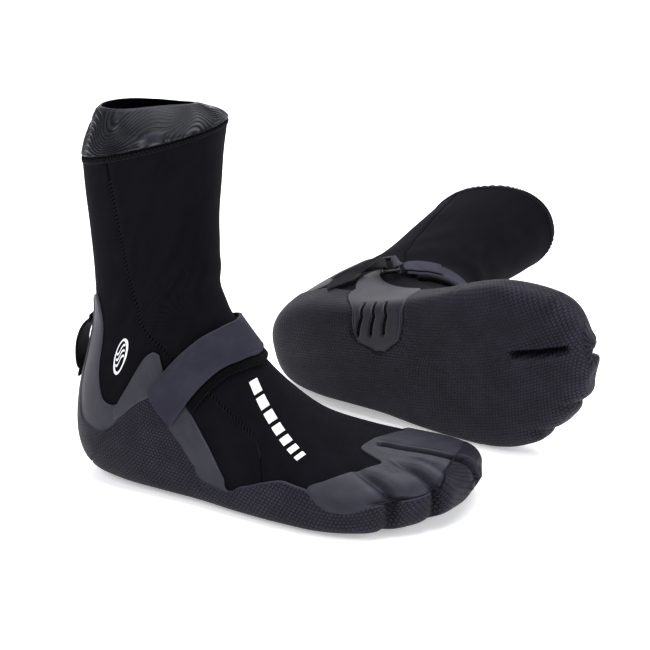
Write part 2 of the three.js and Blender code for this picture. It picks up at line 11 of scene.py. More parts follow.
import bmesh
import bpy
import numpy as np
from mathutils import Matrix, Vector


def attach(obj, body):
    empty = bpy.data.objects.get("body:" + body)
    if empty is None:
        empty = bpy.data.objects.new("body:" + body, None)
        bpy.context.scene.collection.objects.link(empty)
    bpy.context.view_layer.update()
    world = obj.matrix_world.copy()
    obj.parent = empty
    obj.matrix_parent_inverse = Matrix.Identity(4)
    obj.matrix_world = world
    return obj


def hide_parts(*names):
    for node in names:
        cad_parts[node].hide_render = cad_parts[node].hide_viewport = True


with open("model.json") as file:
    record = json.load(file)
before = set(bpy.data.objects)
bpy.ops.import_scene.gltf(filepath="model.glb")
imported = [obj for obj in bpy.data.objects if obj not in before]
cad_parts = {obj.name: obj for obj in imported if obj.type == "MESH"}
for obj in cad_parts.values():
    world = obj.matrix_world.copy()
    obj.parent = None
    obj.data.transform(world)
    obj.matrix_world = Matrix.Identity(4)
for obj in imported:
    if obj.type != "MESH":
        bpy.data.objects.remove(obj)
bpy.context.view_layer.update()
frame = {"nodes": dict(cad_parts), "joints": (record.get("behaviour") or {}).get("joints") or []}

# ---------------------------------------------------------------- sizes, mm
GAP = 0.3
NEOPRENE = 3.0
RUBBER = 1.7
TREAD = 3.0
OVERLAY = 1.4
CUFF_HEIGHT = 28.0
CUFF_DIP = 0.46  # share of its height that the cuff loses over the shin
CUFF_TAPER = 0.3
CUFF_WALL = 3.0
STRAP_WIDTH = 30.0
STRAP = 1.8
HOOK = 0.7
PAD = 1.5
WIRE = 3.0
RING_OPENING = 7.0
RING_CORNER = 2.2
WEBBING = 1.5
LOOP_WIDTH = 20.0
LOOP_DEPTH = 6.0
LOOP_HALF = 1.0  # half of the folded band's thickness
LOOP_LOW, LOOP_RUN = 0.712, 0.07  # s of its lower end, and its length in s
HEEL_RADIUS = 34.0
PER_S = 450.0  # millimetres of surface for one unit of s
SHAFT_RUN = 500.0  # and past the cuff seam
STRAP_HALF = 1.1 * STRAP_WIDTH / 2 / PER_S
PAD_BELOW = 7.0 / PER_S
PAD_TOP = GAP + PAD
HOOK_TOP = PAD_TOP + GAP + HOOK
STRAP_TOP = HOOK_TOP + GAP + STRAP
RING_TURN = 250.0
BAR_OFFSET = (RING_OPENING + WIRE) / 2
BAR_HEIGHT = GAP + RUBBER + WEBBING + 1.6 + WIRE / 2
LEFT_TURNS = (-82.4, -10.3, -17.8)  # roll, pitch and yaw of the lying boot, degrees

# sole x, z; instep x, z; half width; sideways shift; height share of the widest point;
# squareness below and above that point
STATIONS = np.array([
    [271, 19.5, 271.5, 27, 15, 12, 0.45, 2.4, 2.3],
    [268, 14.5, 269.5, 32, 25, 12, 0.42, 2.8, 2.5],
    [259, 10.5, 262, 36, 35, 11, 0.4, 3.4, 2.6],
    [240, 6.5, 246, 39, 47, 6, 0.38, 4.2, 2.6],
    [215, 4.5, 221, 42, 57, 0, 0.34, 4.8, 2.4],
    [190, 3, 194, 49, 57, -3, 0.3, 5, 2.2],
    [160, 3, 168, 60, 52, -4.5, 0.27, 5, 2],
    [130, 3, 147, 76, 46.5, -4, 0.26, 5, 2],
    [100, 3, 131, 92, 41, -2.5, 0.27, 4.6, 2],
    [70, 3, 118, 108, 38, -1.5, 0.3, 4.2, 2],
    [40, 4, 108, 122, 36.5, -1, 0.36, 3.6, 2.1],
    [17, 9, 103.5, 135, 35, -1, 0.42, 3, 2.2],
    [6, 26, 101.5, 147, 34.5, -1, 0.46, 2.6, 2.2],
    [5.5, 55, 101, 158, 34, -1, 0.48, 2.4, 2.2],
    [12, 85, 100.5, 168, 33, -0.5, 0.5, 2.3, 2.2],
    [17, 110, 100.5, 181, 32.5, 0, 0.5, 2.2, 2.2],
    [17, 140, 101, 196, 32.5, 0.5, 0.5, 2.2, 2.2],
    [15, 170, 102.5, 213, 34, 1, 0.5, 2.2, 2.2],
    [12.5, 199, 104.5, 232, 35.5, 1, 0.5, 2.2, 2.2],
    [11, 221, 106.5, 249, 36.5, 1.5, 0.5, 2.2, 2.2],
])

# ---------------------------------------------------------------- lines on the surface
def curve(points):
    """A smooth curve through [place, value] points that never swings past them: each point's
    slope is the harmonic mean of its neighbours' slopes, or level at a peak."""
    x, y = np.array(points, float).T
    step = np.diff(x)
    rise = np.diff(y) / step
    slope = np.zeros_like(y)
    left, right = rise[:-1], rise[1:]
    same = left * right > 0
    w_left, w_right = 2 * step[1:] + step[:-1], step[1:] + 2 * step[:-1]
    w_left, w_right, left, right = (each[same] for each in (w_left, w_right, left, right))
    slope[1:-1][same] = (w_left + w_right) / (w_left / left + w_right / right)
    slope[0], slope[-1] = rise[0], rise[-1]

    def at(place):
        place = np.clip(place, x[0], x[-1])
        k = np.clip(np.searchsorted(x, place, side="right") - 1, 0, len(x) - 2)
        t = (place - x[k]) / step[k]
        return (
            y[k] * (1 + 2 * t) * (1 - t) ** 2
            + slope[k] * step[k] * t * (1 - t) ** 2
            + y[k + 1] * t * t * (3 - 2 * t)
            + slope[k + 1] * step[k] * t * t * (t - 1)
        )

    return at


seam_line = curve([
    [0.05, 66], [0.3, 74], [0.34, 100], [0.352, 116], [0.375, 127], [0.45, 127], [0.54, 122],
    [0.6, 116], [0.73, 94], [0.82, 82], [0.9, 75], [1, 68], [1.1, 60],
])
outer_rubber = curve([
    [0.11, 180], [0.118, 150], [0.126, 114], [0.17, 106], [0.2, 104], [0.226, 96], [0.245, 96],
    [0.265, 101], [0.285, 111], [0.31, 111], [0.34, 102], [0.36, 94], [0.385, 88], [0.415, 88],
    [0.48, 98], [0.555, 102], [0.575, 96], [0.592, 72], [0.615, 60], [0.66, 42], [0.74, 36],
    [0.815, 30],
])
inner_rubber = curve([
    [0.11, 180], [0.118, 150], [0.126, 114], [0.17, 108], [0.24, 105], [0.3, 106], [0.34, 102],
    [0.4, 97], [0.5, 90], [0.56, 84], [0.592, 70], [0.615, 60], [0.66, 42], [0.74, 36],
    [0.815, 30],
])
cap_front = curve([
    [88, 0.24], [105, 0.18], [110, 0.14], [114, 0.123], [130, 0.112], [240, 0.112], [250, 0.14],
    [256, 0.18], [272, 0.24],
])
cap_rear = curve([
    [88, 0.272], [102, 0.276], [111, 0.283], [125, 0.262], [140, 0.239], [159, 0.21],
    [169, 0.243], [180, 0.238], [192, 0.226], [215, 0.212], [240, 0.225], [255, 0.25],
    [272, 0.27],
])
wedge_top = curve([[0.386, 88], [0.41, 97], [0.434, 104], [0.472, 111], [0.5, 114]])
arch_front = curve([[3, 0.385], [10, 0.36], [36, 0.35], [60, 0.35], [100, 0.365], [106, 0.38]])
arch_rear = curve([[3, 0.4], [10, 0.425], [52, 0.434], [75, 0.455], [90, 0.5], [97, 0.57], [106, 0.59]])
STRAP_PATH = [
    [101, 0.532], [120, 0.525], [140, 0.508], [160, 0.482], [180, 0.467], [200, 0.478],
    [220, 0.503], [240, 0.53], [270, 0.57],
]
strap_line = curve(STRAP_PATH)


# ---------------------------------------------------------------- the boot's surface
def column(index, s):
    """Uniform Catmull-Rom curve through one column of STATIONS, for s from 0 to 1."""
    values = STATIONS[:, index]
    ends = ([2 * values[0] - values[1]], values, [2 * values[-1] - values[-2]])
    padded = np.concatenate(ends)
    place = np.clip(s, 0, 1) * (len(values) - 1)
    k = np.minimum(place.astype(int), len(values) - 2)
    t = place - k
    before, here, there, after = (padded[k + i] for i in range(4))
    rise, run, step = (there - before) / 2, (after - here) / 2, there - here
    return here + t * (rise + t * (3 * step - 2 * rise - run + t * (rise + run - 2 * step)))


def boot(s, a):
    """A section is a superellipse: sideways |sin a|^(2/n), upwards |cos a|^(2/n), with one n
    below its widest point and another above it, between the sole point and the instep point."""
    s, a = np.broadcast_arrays(np.asarray(s, float), np.radians(a))
    below = np.cos(a) > 0
    power = 2 / np.where(below, column(7, s), column(8, s))
    side = np.sign(np.sin(a)) * np.abs(np.sin(a)) ** power
    rise = np.abs(np.cos(a)) ** power
    widest = column(6, s)
    height = np.where(below, widest * (1 - rise), widest + (1 - widest) * rise)
    x = column(0, s) + (column(2, s) - column(0, s)) * height
    z = column(1, s) + (column(3, s) - column(1, s)) * height
    return np.stack([x, column(5, s) - side * column(4, s), z], -1)


def unit(vectors):
    return vectors / np.maximum(np.linalg.norm(vectors, axis=-1, keepdims=True), 1e-9)


def bearing(s, a):
    """Outward normal: the step round the section crossed with the step along the boot."""
    along = boot(np.clip(s + 0.002, 0, 1), a) - boot(np.clip(s - 0.002, 0, 1), a)
    turn = boot(s, a + 0.5) - boot(s, a - 0.5)
    return unit(np.cross(turn, along))


SHAFT_AXIS = unit(boot(1, 0) + boot(1, 180) - boot(0.97, 0) - boot(0.97, 180))


def bell(distance, width):
    return np.exp(-((distance / width) ** 2))


def ramp(value, start, end):
    """Smooth step from 0 at start to 1 at end."""
    t = np.clip((value - start) / (end - start), 0, 1)
    return t * t * (3 - 2 * t)


def in_plan(points, start, end):
    """Distance from the line start to end seen from above, and the share of it passed."""
    start, end = np.array(start, float), np.array(end, float)
    line = end - start
    share = ((points[..., :2] - start) @ line) / (line @ line)
    near = start + np.clip(share, 0, 1)[..., None] * line
    return np.linalg.norm(points[..., :2] - near, axis=-1), share


TOE_CREASES = [  # start, end in plan, depth, half width
    ((222, -18), (267, -29), 5.6, 2.6),
    ((200, -36), (250, -51), 5.2, 2.8),
    ((258, 3), (280, 8), 4.6, 2.4),
]
TOP_SLIT = ((214, -5), (270, 5))
SOLE_SLIT = ((224, 13), (264, 16))


def form(s, a, points):
    """Millimetres that toes, slits and soft folds add to the plain surface: each crease is a
    bell-shaped groove along its line in plan, deepest at the rim of the foot."""
    turn = np.cos(np.radians(a))
    height = np.zeros(points.shape[:-1])
    for start, end, depth, width in TOE_CREASES:
        distance, share = in_plan(points, start, end)
        edge = np.clip(1 - 1.15 * turn, 0, 1)
        height -= depth * bell(distance, width) * ramp(share, 0, 0.5) * edge
        height += 0.45 * depth * bell(distance - 3 * width, 2.2 * width) * ramp(share, 0.1, 0.6) * edge
    for (start, end), on, depth in ((TOP_SLIT, -turn, 9.5), (SOLE_SLIT, turn, 8.0)):
        distance, share = in_plan(points, start, end)
        close = depth / (1 + (distance / 2.2) ** 6)
        lips = 1.5 * bell(distance - 3.9, 2.6)
        reach = ramp(on, 0.1, 0.4) * ramp(share, -0.06, 0.1) * ramp(-share, -1.06, -0.9)
        height += (lips - close) * reach
    # the instep sinks a little where the ankle bends, and the ball of the foot swells
    height -= 1.4 * bell(s - 0.6, 0.035) * bell(np.mod(a, 360) - 180, 55)
    height += 0.8 * bell(s - 0.655, 0.03) * bell(np.mod(a, 360) - 180, 60)
    for side in (seam_line(s), 360 - seam_line(s)):
        height -= 0.5 * bell((np.mod(a, 360) - side) * 0.62, 1.3) * ramp(s, 0.34, 0.37)
    ripple = 0.35 * np.sin(31 * s + 0.05 * a) * np.sin(17 * s + 2)
    height += ripple * ramp(s, 0.6, 0.7) * ramp(-turn, -0.9, 0.2)
    return height


NOSE = 0.02  # s from -NOSE to 0 closes the toe tip
NOSE_BULGE = 2.0


def skin(s, a, offset):
    """The surface moved out by offset along its normal. Below s = 0 each point moves to the
    middle of the first section by cos and forward by sin of a quarter turn, which closes the
    tip; past s = 1 the surface runs straight on along the shaft."""
    s = np.asarray(s, float)
    base = boot(s, a)
    out = bearing(np.clip(s, 0, 1), a)
    quarter = np.clip(-s / NOSE, 0, 1)[..., None] * np.pi / 2
    middle = (boot(0.0, 0.0) + boot(0.0, 180.0)) / 2
    ahead = np.array([1.0, 0, 0])
    share = np.where(quarter > 0, np.cos(quarter), 1)
    base = middle + (base - middle) * share + ahead * NOSE_BULGE * np.sin(quarter)
    out = unit(out * np.cos(quarter) + ahead * np.sin(quarter))
    height = (offset + form(s, a, base))[..., None]
    beyond = np.maximum(s - 1, 0)[..., None] * SHAFT_RUN
    return base + out * height + SHAFT_AXIS * beyond


# ---------------------------------------------------------------- lengths over the surface
warp = np.linspace(0, 1, 61)[:-1]
warp = warp**2.5 / (warp**2.5 + (1 - warp) ** 2.5)
TURNS = np.concatenate([90 * (quadrant + warp) for quadrant in range(-4, 4)] + [[360.0]])
PLACES = np.linspace(0, 1, 241)
table = boot(PLACES[:, None], TURNS[None])
GIRTH = np.cumsum(np.linalg.norm(np.diff(table, axis=1), axis=-1), 1)
GIRTH = np.concatenate([np.zeros((len(PLACES), 1)), GIRTH], 1)
GIRTH -= GIRTH[:, [np.searchsorted(TURNS, 0)]]
LENGTH = np.cumsum(np.linalg.norm(np.diff(table, axis=0), axis=-1), 0)
LENGTH = np.concatenate([np.zeros((1, len(TURNS))), LENGTH], 0)


def lookup(values, s, a):
    """Bilinear value of a table over PLACES and TURNS."""
    row = np.clip(s, 0, 1) * (len(PLACES) - 1)
    i = np.minimum(row.astype(int), len(PLACES) - 2)
    j = np.clip(np.searchsorted(TURNS, a, side="right") - 1, 0, len(TURNS) - 2)
    p = row - i
    q = (a - TURNS[j]) / (TURNS[j + 1] - TURNS[j])
    low = values[i, j] * (1 - q) + values[i, j + 1] * q
    high = values[i + 1, j] * (1 - q) + values[i + 1, j + 1] * q
    return low * (1 - p) + high * p


NO_RIM = 9.0  # rim distance of a point that is far from any border, mm
ROUNDING = np.array([0, 0.04, 0.15, 0.36, 0.65, 1])  # lines across a rounded edge


def spaced(width, count, edge, crowd=None):
    """Places from 0 to width, with the lines of a rounded edge at both ends and even steps
    between them. crowd(place) above 0 packs the steps closer where it is high."""
    edge = min(edge, width / 3)
    if crowd:
        fine = np.linspace(edge, width - edge, 400)
        load = np.cumsum(1 + crowd(fine))
        inner = np.interp(np.linspace(load[0], load[-1], count), load, fine)
    else:
        inner = np.linspace(edge, width - edge, count)
    return np.concatenate([edge * ROUNDING, inner[1:-1], width - edge * ROUNDING[::-1]])


def lengthwise(s_lines, a_from, a_to, count, edge=1.2, crowd=None):
    """Grid between two angles that depend on s, evenly spaced by length round each section.
    crowd takes the length from the sole line."""
    rows = []
    for s, low, high in zip(s_lines, a_from(s_lines), a_to(s_lines)):
        girth = lookup(GIRTH, np.full(len(TURNS), max(s, 0.0)), TURNS)
        start, end = np.interp([low, high], TURNS, girth)
        thick = (lambda place, start=start: crowd(place + start)) if crowd else None
        rows.append(np.interp(start + spaced(end - start, count, edge, thick), girth, TURNS))
    a = np.array(rows)
    return np.repeat(s_lines[:, None], a.shape[1], 1), a


def crosswise(a_from, a_to, s_from, s_to, rows, count, edge=1.2, crowd=None):
    """Grid between two places s that depend on the angle; rows are evenly spaced by length
    round the section in the middle of the patch. crowd takes the angle."""
    middle = float((s_from(0.5 * (a_from + a_to)) + s_to(0.5 * (a_from + a_to))) / 2)
    girth = lookup(GIRTH, np.full(len(TURNS), middle), TURNS)
    start, end = np.interp([a_from, a_to], TURNS, girth)
    thick = (lambda place: crowd(np.interp(place + start, girth, TURNS))) if crowd else None
    turns = np.interp(start + spaced(end - start, rows, edge, thick), girth, TURNS)
    low, high = s_from(turns), s_to(turns)
    s = np.array([p + spaced((q - p) * PER_S, count, edge) / PER_S for p, q in zip(low, high)]).T
    return s, np.repeat(turns[None], s.shape[0], 0)


def along(start, end, step, edge=1.2):
    """Lines of s from start to end, step millimetres apart, with a rounded edge's lines."""
    width = (end - start) * PER_S
    return start + spaced(width, max(int(width / step), 3), edge) / PER_S


# ---------------------------------------------------------------- closed meshes
def rim_distance(points):
    """Length over the grid from each point to the nearest border, along rows and columns."""

    def run(axis):
        steps = np.linalg.norm(np.diff(points, axis=axis), axis=-1)
        total = np.concatenate([np.zeros_like(np.take(steps, [0], axis)), np.cumsum(steps, axis)], axis)
        return np.minimum(total, np.take(total, [-1], axis) - total)

    return np.minimum(run(0), run(1))


def quads(number):
    """Faces between neighbouring points of a numbered grid."""
    corners = [number[:-1, :-1], number[:-1, 1:], number[1:, 1:], number[1:, :-1]]
    return np.stack(corners, -1).reshape(-1, 4)


def ring_quads(rows, cols, loop):
    """Faces of a grid whose last column meets its first, and whose last row does in a loop."""
    number = np.arange(rows * cols).reshape(rows, cols)
    if loop:
        number = np.concatenate([number, number[:1]])
    return quads(np.concatenate([number, number[:, :1]], 1))


def closed(outer, inner, flow):
    """Two equal grids, the outer one facing out, joined round their borders."""
    rows, cols = outer.shape[:2]
    number = np.arange(rows * cols).reshape(rows, cols)
    under = number + rows * cols
    faces = [quads(number), quads(under)[:, ::-1]]
    ends = [
        (number[0], under[0], 1),
        (number[-1], under[-1], -1),
        (number[:, 0], under[:, 0], -1),
        (number[:, -1], under[:, -1], 1),
    ]
    for top, bottom, way in ends:
        wall = np.stack([top[:-1], bottom[:-1], bottom[1:], top[1:]], -1)
        faces.append(wall[:, ::way])
    points = np.concatenate([outer.reshape(-1, 3), inner.reshape(-1, 3)])
    return points, np.concatenate(faces), np.tile(flow.reshape(-1, 3), (2, 1))


def shell(grid, low, high, edge=1.2, drop=None, relief=None):
    """A closed skin over a grid (s, a) between two offsets. Its outer edge is rounded: within
    edge millimetres of the border it falls by drop along a quarter of an ellipse."""
    s, a = grid
    base = skin(s, a, 0.0)
    rim = rim_distance(base)
    high = high(s, a) if callable(high) else np.full(s.shape, float(high))
    low = low(s, a) if callable(low) else np.full(s.shape, float(low))
    fall = 0.85 * (high - low) if drop is None else drop
    lift = high - fall * (1 - np.sqrt(1 - (1 - np.clip(rim / edge, 0, 1)) ** 2))
    if relief is not None:
        lift = lift + relief(s, a, rim)
    flow = np.stack([lookup(LENGTH, s, a), np.abs(lookup(GIRTH, s, a)), rim], -1)
    return closed(skin(s, a, lift), skin(s, a, low), flow)


def thickened(middle, half, edge=0.5):
    """A band with its middle surface on a grid: both faces lie half a thickness away along
    the grid's normal, and come together at the border along an ellipse."""
    down = np.gradient(middle, axis=0)
    across = np.gradient(middle, axis=1)
    out = unit(np.cross(across, down))
    rim = rim_distance(middle)
    depth = (half * (0.3 + 0.7 * np.sqrt(1 - (1 - np.clip(rim / edge, 0, 1)) ** 2)))[..., None]
    run = np.linalg.norm(np.diff(middle, axis=0), axis=-1).mean(1)
    length = np.concatenate([[0], np.cumsum(run)])[:, None] + 0 * rim
    width = np.linalg.norm(middle - middle[:, :1], axis=-1)
    return closed(middle + out * depth, middle - out * depth, np.stack([length, width, rim], -1))


def tube(path, radius, sides=10, loop=False):
    """A round bar along a path: each section is a circle square to the path, turned so that
    it doesn't twist against a fixed direction."""
    ahead = np.roll(path, -1, 0) - np.roll(path, 1, 0) if loop else np.gradient(path, axis=0)
    ahead = unit(ahead)
    sweep = path.max(0) - path.min(0)
    helper = np.eye(3)[np.argmin(sweep)] if loop else np.array([0.31, 0.22, 0.92])
    first = unit(np.cross(ahead, helper))
    second = np.cross(ahead, first)
    angle = np.linspace(0, 2 * np.pi, sides, endpoint=False)
    ring = np.cos(angle)[None, :, None] * first[:, None] + np.sin(angle)[None, :, None] * second[:, None]
    points = path[:, None] + radius * ring
    if not loop:
        caps = [np.repeat(path[[end], None], sides, 1) for end in (0, -1)]
        points = np.concatenate([caps[0], points, caps[1]])
    rows = len(points)
    length = np.arange(rows)[:, None] + np.zeros((1, sides))
    flow = np.stack([length, np.tile(np.arange(sides), (rows, 1)), np.full((rows, sides), NO_RIM)], -1)
    return points.reshape(-1, 3), ring_quads(rows, sides, loop), flow.reshape(-1, 3)


def joined(parts):
    """Several closed meshes as one."""
    points, faces, flows, start = [], [], [], 0
    for p, f, w in parts:
        points.append(p)
        faces.append(f + start)
        flows.append(w)
        start += len(p)
    return np.concatenate(points), np.concatenate(faces), np.concatenate(flows)


# ---------------------------------------------------------------- where each boot is
def straight(points, place):
    return np.interp(place, *np.array(points, float).T)


def ring_frame():
    """x along the strap, y across it, z away from the boot, at the middle of the ring."""
    origin = boot(straight(STRAP_PATH, RING_TURN), RING_TURN)
    up = bearing(straight(STRAP_PATH, RING_TURN), RING_TURN)
    ahead = boot(straight(STRAP_PATH, RING_TURN - 8), RING_TURN - 8) - origin
    sideways = unit(np.cross(up, ahead))
    return origin, np.stack([np.cross(sideways, up), sideways, up])


RING_ORIGIN, RING_AXES = ring_frame()


def by_ring(x, y, z):
    return RING_ORIGIN + np.stack(np.broadcast_arrays(x, y, z), -1) @ RING_AXES


def turned(roll, pitch, yaw):
    roll, pitch, yaw = np.radians([roll, pitch, yaw])
    (cr, cp, cy), (sr, sp, sy) = np.cos([roll, pitch, yaw]), np.sin([roll, pitch, yaw])
    about_x = np.array([[1, 0, 0], [0, cr, -sr], [0, sr, cr]])
    about_y = np.array([[cp, 0, sp], [0, 1, 0], [-sp, 0, cp]])
    about_z = np.array([[cy, -sy, 0], [sy, cy, 0], [0, 0, 1]])
    return about_z @ about_y @ about_x


joints = {joint["name"]: joint for joint in frame["joints"]}
TURN = {"right": np.eye(3), "left": turned(*LEFT_TURNS) @ np.diag([1.0, -1, 1])}
hinge = by_ring(BAR_OFFSET, 0, BAR_HEIGHT)
SHIFT = {
    side: np.array(joints[side + "_strap_open"]["pos_m"]) - turn @ hinge / 1000
    for side, turn in TURN.items()
}


def piece(name, mesh, material, body="boot", stands_for=None, weld=False):
    """Makes the piece for both boots, the left one mirrored, each on its own body."""
    points, faces, flow = mesh
    for side in TURN:
        world = points / 1000 @ TURN[side].T + SHIFT[side]
        order = faces if side == "right" else faces[:, ::-1]
        data = bpy.data.meshes.new(f"{side}_{name}")
        data.vertices.add(len(world))
        data.vertices.foreach_set("co", world.astype(np.float32).ravel())
        data.loops.add(order.size)
        data.loops.foreach_set("vertex_index", order.astype(np.int32).ravel())
        data.polygons.add(len(order))
        data.polygons.foreach_set("loop_start", np.arange(0, order.size, 4, dtype=np.int32))
        data.update(calc_edges=True)
        drawn = data.attributes.new("flow", "FLOAT_VECTOR", "POINT")
        drawn.data.foreach_set("vector", flow.astype(np.float32).ravel())
        if weld:
            work = bmesh.new()
            work.from_mesh(data)
            bmesh.ops.remove_doubles(work, verts=work.verts, dist=2e-6)
            work.to_mesh(data)
            work.free()
        data.validate()
        data.shade_smooth()
        data.materials.append(material)
        made = bpy.data.objects.new(f"{side}_{name}", data)
        bpy.context.scene.collection.objects.link(made)
        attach(made, f"{side}_{body}")
        for node in stands_for or ():
            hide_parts(f"{side}_{node}")


def patch(name, grid, low, high, material, node, body="boot", **shape):
    """A piece that is one shell over its grid and stands for one node."""
    piece(name, shell(grid, low, high, **shape), material, body=body, stands_for=[node])


# ---------------------------------------------------------------- shader helpers
def add(tree, kind, inputs=None, **settings):
    made = tree.nodes.new("ShaderNode" + kind)
    for name, value in settings.items():
        setattr(made, name, value)
    for key, value in (inputs or {}).items():
        if isinstance(value, bpy.types.NodeSocket):
            tree.links.new(value, made.inputs[key])
        else:
            made.inputs[key].default_value = value
    return made


def noise(tree, place, scale, detail, roughness):
    given = {"Vector": place, "Scale": scale, "Detail": detail, "Roughness": roughness}
    return add(tree, "TexNoise", given).outputs[0]


def maths(tree, operation, *values, clamp=False):
    return add(tree, "Math", dict(enumerate(values)), operation=operation, use_clamp=clamp).outputs[0]


def times(tree, *values):
    return maths(tree, "MULTIPLY", *values)


def plus(tree, *values):
    return maths(tree, "ADD", *values)


def vectors(tree, operation, *values):
    made = add(tree, "VectorMath", dict(enumerate(values)), operation=operation)
    return made.outputs["Value" if operation in ("LENGTH", "DOT_PRODUCT") else "Vector"]


def span(tree, value, low, high, to_low=0.0, to_high=1.0):
    """Maps low..high smoothly to to_low..to_high."""
    given = {0: value, 1: low, 2: high, 3: to_low, 4: to_high}
    return add(tree, "MapRange", given, interpolation_type="SMOOTHSTEP").outputs[0]


def mixed(tree, factor, first, second):
    made = add(tree, "Mix", {0: factor, 6: first, 7: second}, data_type="RGBA")
    return made.outputs[2]


def group(name, inputs, outputs, build):
    tree = bpy.data.node_groups.new(name, "ShaderNodeTree")
    for label, kind, value in inputs:
        socket = tree.interface.new_socket(label, in_out="INPUT", socket_type="NodeSocket" + kind)
        if value is not None:
            socket.default_value = value
    for label, kind in outputs:
        tree.interface.new_socket(label, in_out="OUTPUT", socket_type="NodeSocket" + kind)
    source, sink = tree.nodes.new("NodeGroupInput"), tree.nodes.new("NodeGroupOutput")
    for label, socket in build(tree, source.outputs).items():
        tree.links.new(socket, sink.inputs[label])
    return tree


def use(tree, shared, **values):
    made = tree.nodes.new("ShaderNodeGroup")
    made.node_tree = shared
    for label, value in values.items():
        socket = made.inputs[label.replace("_", " ")]
        if isinstance(value, bpy.types.NodeSocket):
            tree.links.new(value, socket)
        else:
            socket.default_value = value
    return made.outputs


def build_cells(tree, given):
    """Honeycomb: the nearer of two staggered lattices of cell middles, then the hexagonal
    distance max(|x|, |x|/2 + 0.866|y|) from that middle; a cell stands up from its grooves."""
    half = (0.5, 0.866, 0.5)
    place = vectors(tree, "DIVIDE", given["Place"], given["Pitch"])
    first = vectors(tree, "WRAP", place, half, (-0.5, -0.866, -0.5))
    second = vectors(tree, "WRAP", vectors(tree, "SUBTRACT", place, half), half, (-0.5, -0.866, -0.5))
    flat = (1.0, 1.0, 0.0)
    first, second = vectors(tree, "MULTIPLY", first, flat), vectors(tree, "MULTIPLY", second, flat)
    nearer = maths(tree, "GREATER_THAN", vectors(tree, "LENGTH", first), vectors(tree, "LENGTH", second))
    cell = add(tree, "Mix", {0: nearer, 4: first, 5: second}, data_type="VECTOR").outputs[1]
    parts = add(tree, "SeparateXYZ", {0: vectors(tree, "ABSOLUTE", cell)}).outputs
    half_x = times(tree, parts[0], 0.5)
    slanted = plus(tree, half_x, times(tree, parts[1], 0.866))
    distance = maths(tree, "MAXIMUM", parts[0], slanted)
    # Groove marks the grooves between the cells, where the tread paints shade
    return {"Height": span(tree, distance, 0.5, 0.3), "Groove": span(tree, distance, 0.33, 0.45)}


def build_wear(tree, given):
    """Wear along an edge: a band by the rim whose width wanders with noise."""
    patches = noise(tree, given["Place"], 0.35, 4.0, 0.6)
    reach = times(tree, given["Width"], plus(tree, 0.35, patches))
    band = maths(tree, "SUBTRACT", 1.0, maths(tree, "DIVIDE", given["Rim"], reach), clamp=True)
    return {"Mask": times(tree, band, given["Amount"])}


def build_grain(tree, given):
    """Fine moulded grain, and slow blotches of dust and handling."""
    fine = noise(tree, given["Place"], given["Scale"], 3.0, 0.65)
    slow = noise(tree, given["Place"], 0.045, 5.0, 0.6)
    return {"Height": fine, "Blotch": span(tree, slow, 0.35, 0.7)}


def build_knit(tree, given):
    """Jersey knit: two families of slanted ribs mirrored at each column of stitches."""
    parts = add(tree, "SeparateXYZ", {0: given["Place"]}).outputs
    column_place = maths(tree, "DIVIDE", parts[1], given["Pitch"])
    leg = maths(tree, "PINGPONG", column_place, 0.5)
    rows = maths(tree, "DIVIDE", parts[0], given["Pitch"])
    rows = plus(tree, rows, times(tree, leg, 0.9))
    rib = maths(tree, "SINE", times(tree, rows, 6.2832))
    valley = maths(tree, "COSINE", times(tree, column_place, 12.566))
    crest = times(tree, rib, 0.3)
    return {"Height": plus(tree, crest, times(tree, valley, -0.25))}


def build_weave(tree, given):
    """Webbing: over and under squares, each rounded, from the product of two waves."""
    parts = add(tree, "SeparateXYZ", {0: given["Place"]}).outputs
    warp_way, weft_way = (
        maths(tree, "SINE", times(tree, maths(tree, "DIVIDE", part, given["Pitch"]), 6.2832))
        for part in (parts[0], parts[1])
    )
    over = times(tree, warp_way, weft_way)
    return {"Height": plus(tree, 0.5, times(tree, over, 0.5))}


VECTOR, NUMBER = "Vector", "Float"
HEIGHT = ("Height", NUMBER)
PLACE = ("Place", VECTOR, None)
cells = group(
    "Honeycomb cells", [PLACE, ("Pitch", VECTOR, (2.1, 2.1, 1.0))], [HEIGHT, ("Groove", NUMBER)], build_cells
)
wear = group(
    "Edge wear",
    [PLACE, ("Rim", NUMBER, NO_RIM), ("Width", NUMBER, 1.5), ("Amount", NUMBER, 0.5)],
    [("Mask", NUMBER)],
    build_wear,
)
grain = group("Moulded grain", [PLACE, ("Scale", NUMBER, 1.0)], [HEIGHT, ("Blotch", NUMBER)], build_grain)
knit = group("Jersey knit", [PLACE, ("Pitch", NUMBER, 1.1)], [HEIGHT], build_knit)
weave = group("Webbing weave", [PLACE, ("Pitch", NUMBER, 1.6)], [HEIGHT], build_weave)


def shade(red, green, blue):
    """A linear colour from display values out of 255."""
    value = np.array([red, green, blue]) / 255
    linear = np.where(value < 0.04045, value / 12.92, ((value + 0.055) / 1.055) ** 2.4)
    return (*map(float, linear), 1.0)


def finish(name, slot, build, grain_scale, rough, **constants):
    """A material whose colour and bump come from build, its roughness from the grain."""
    made = bpy.data.materials.new(name)
    made.use_nodes = True
    tree = made.node_tree
    shader = tree.nodes["Principled BSDF"]
    flow = add(tree, "Attribute", attribute_name="flow").outputs["Vector"]
    rim = add(tree, "SeparateXYZ", {0: flow}).outputs[2]
    mottle = use(tree, grain, Place=flow, Scale=grain_scale)
    colour, height, depth = build(tree, flow, rim, mottle)
    tree.links.new(colour, shader.inputs["Base Color"])
    tree.links.new(span(tree, mottle["Height"], 0.3, 0.7, *rough), shader.inputs["Roughness"])
    bump = add(tree, "Bump", {"Strength": 1.0, "Distance": depth * 0.001, "Height": height})
    tree.links.new(bump.outputs[0], shader.inputs["Normal"])
    for label, value in constants.items():
        shader.inputs[label.replace("_", " ")].default_value = value
    return made


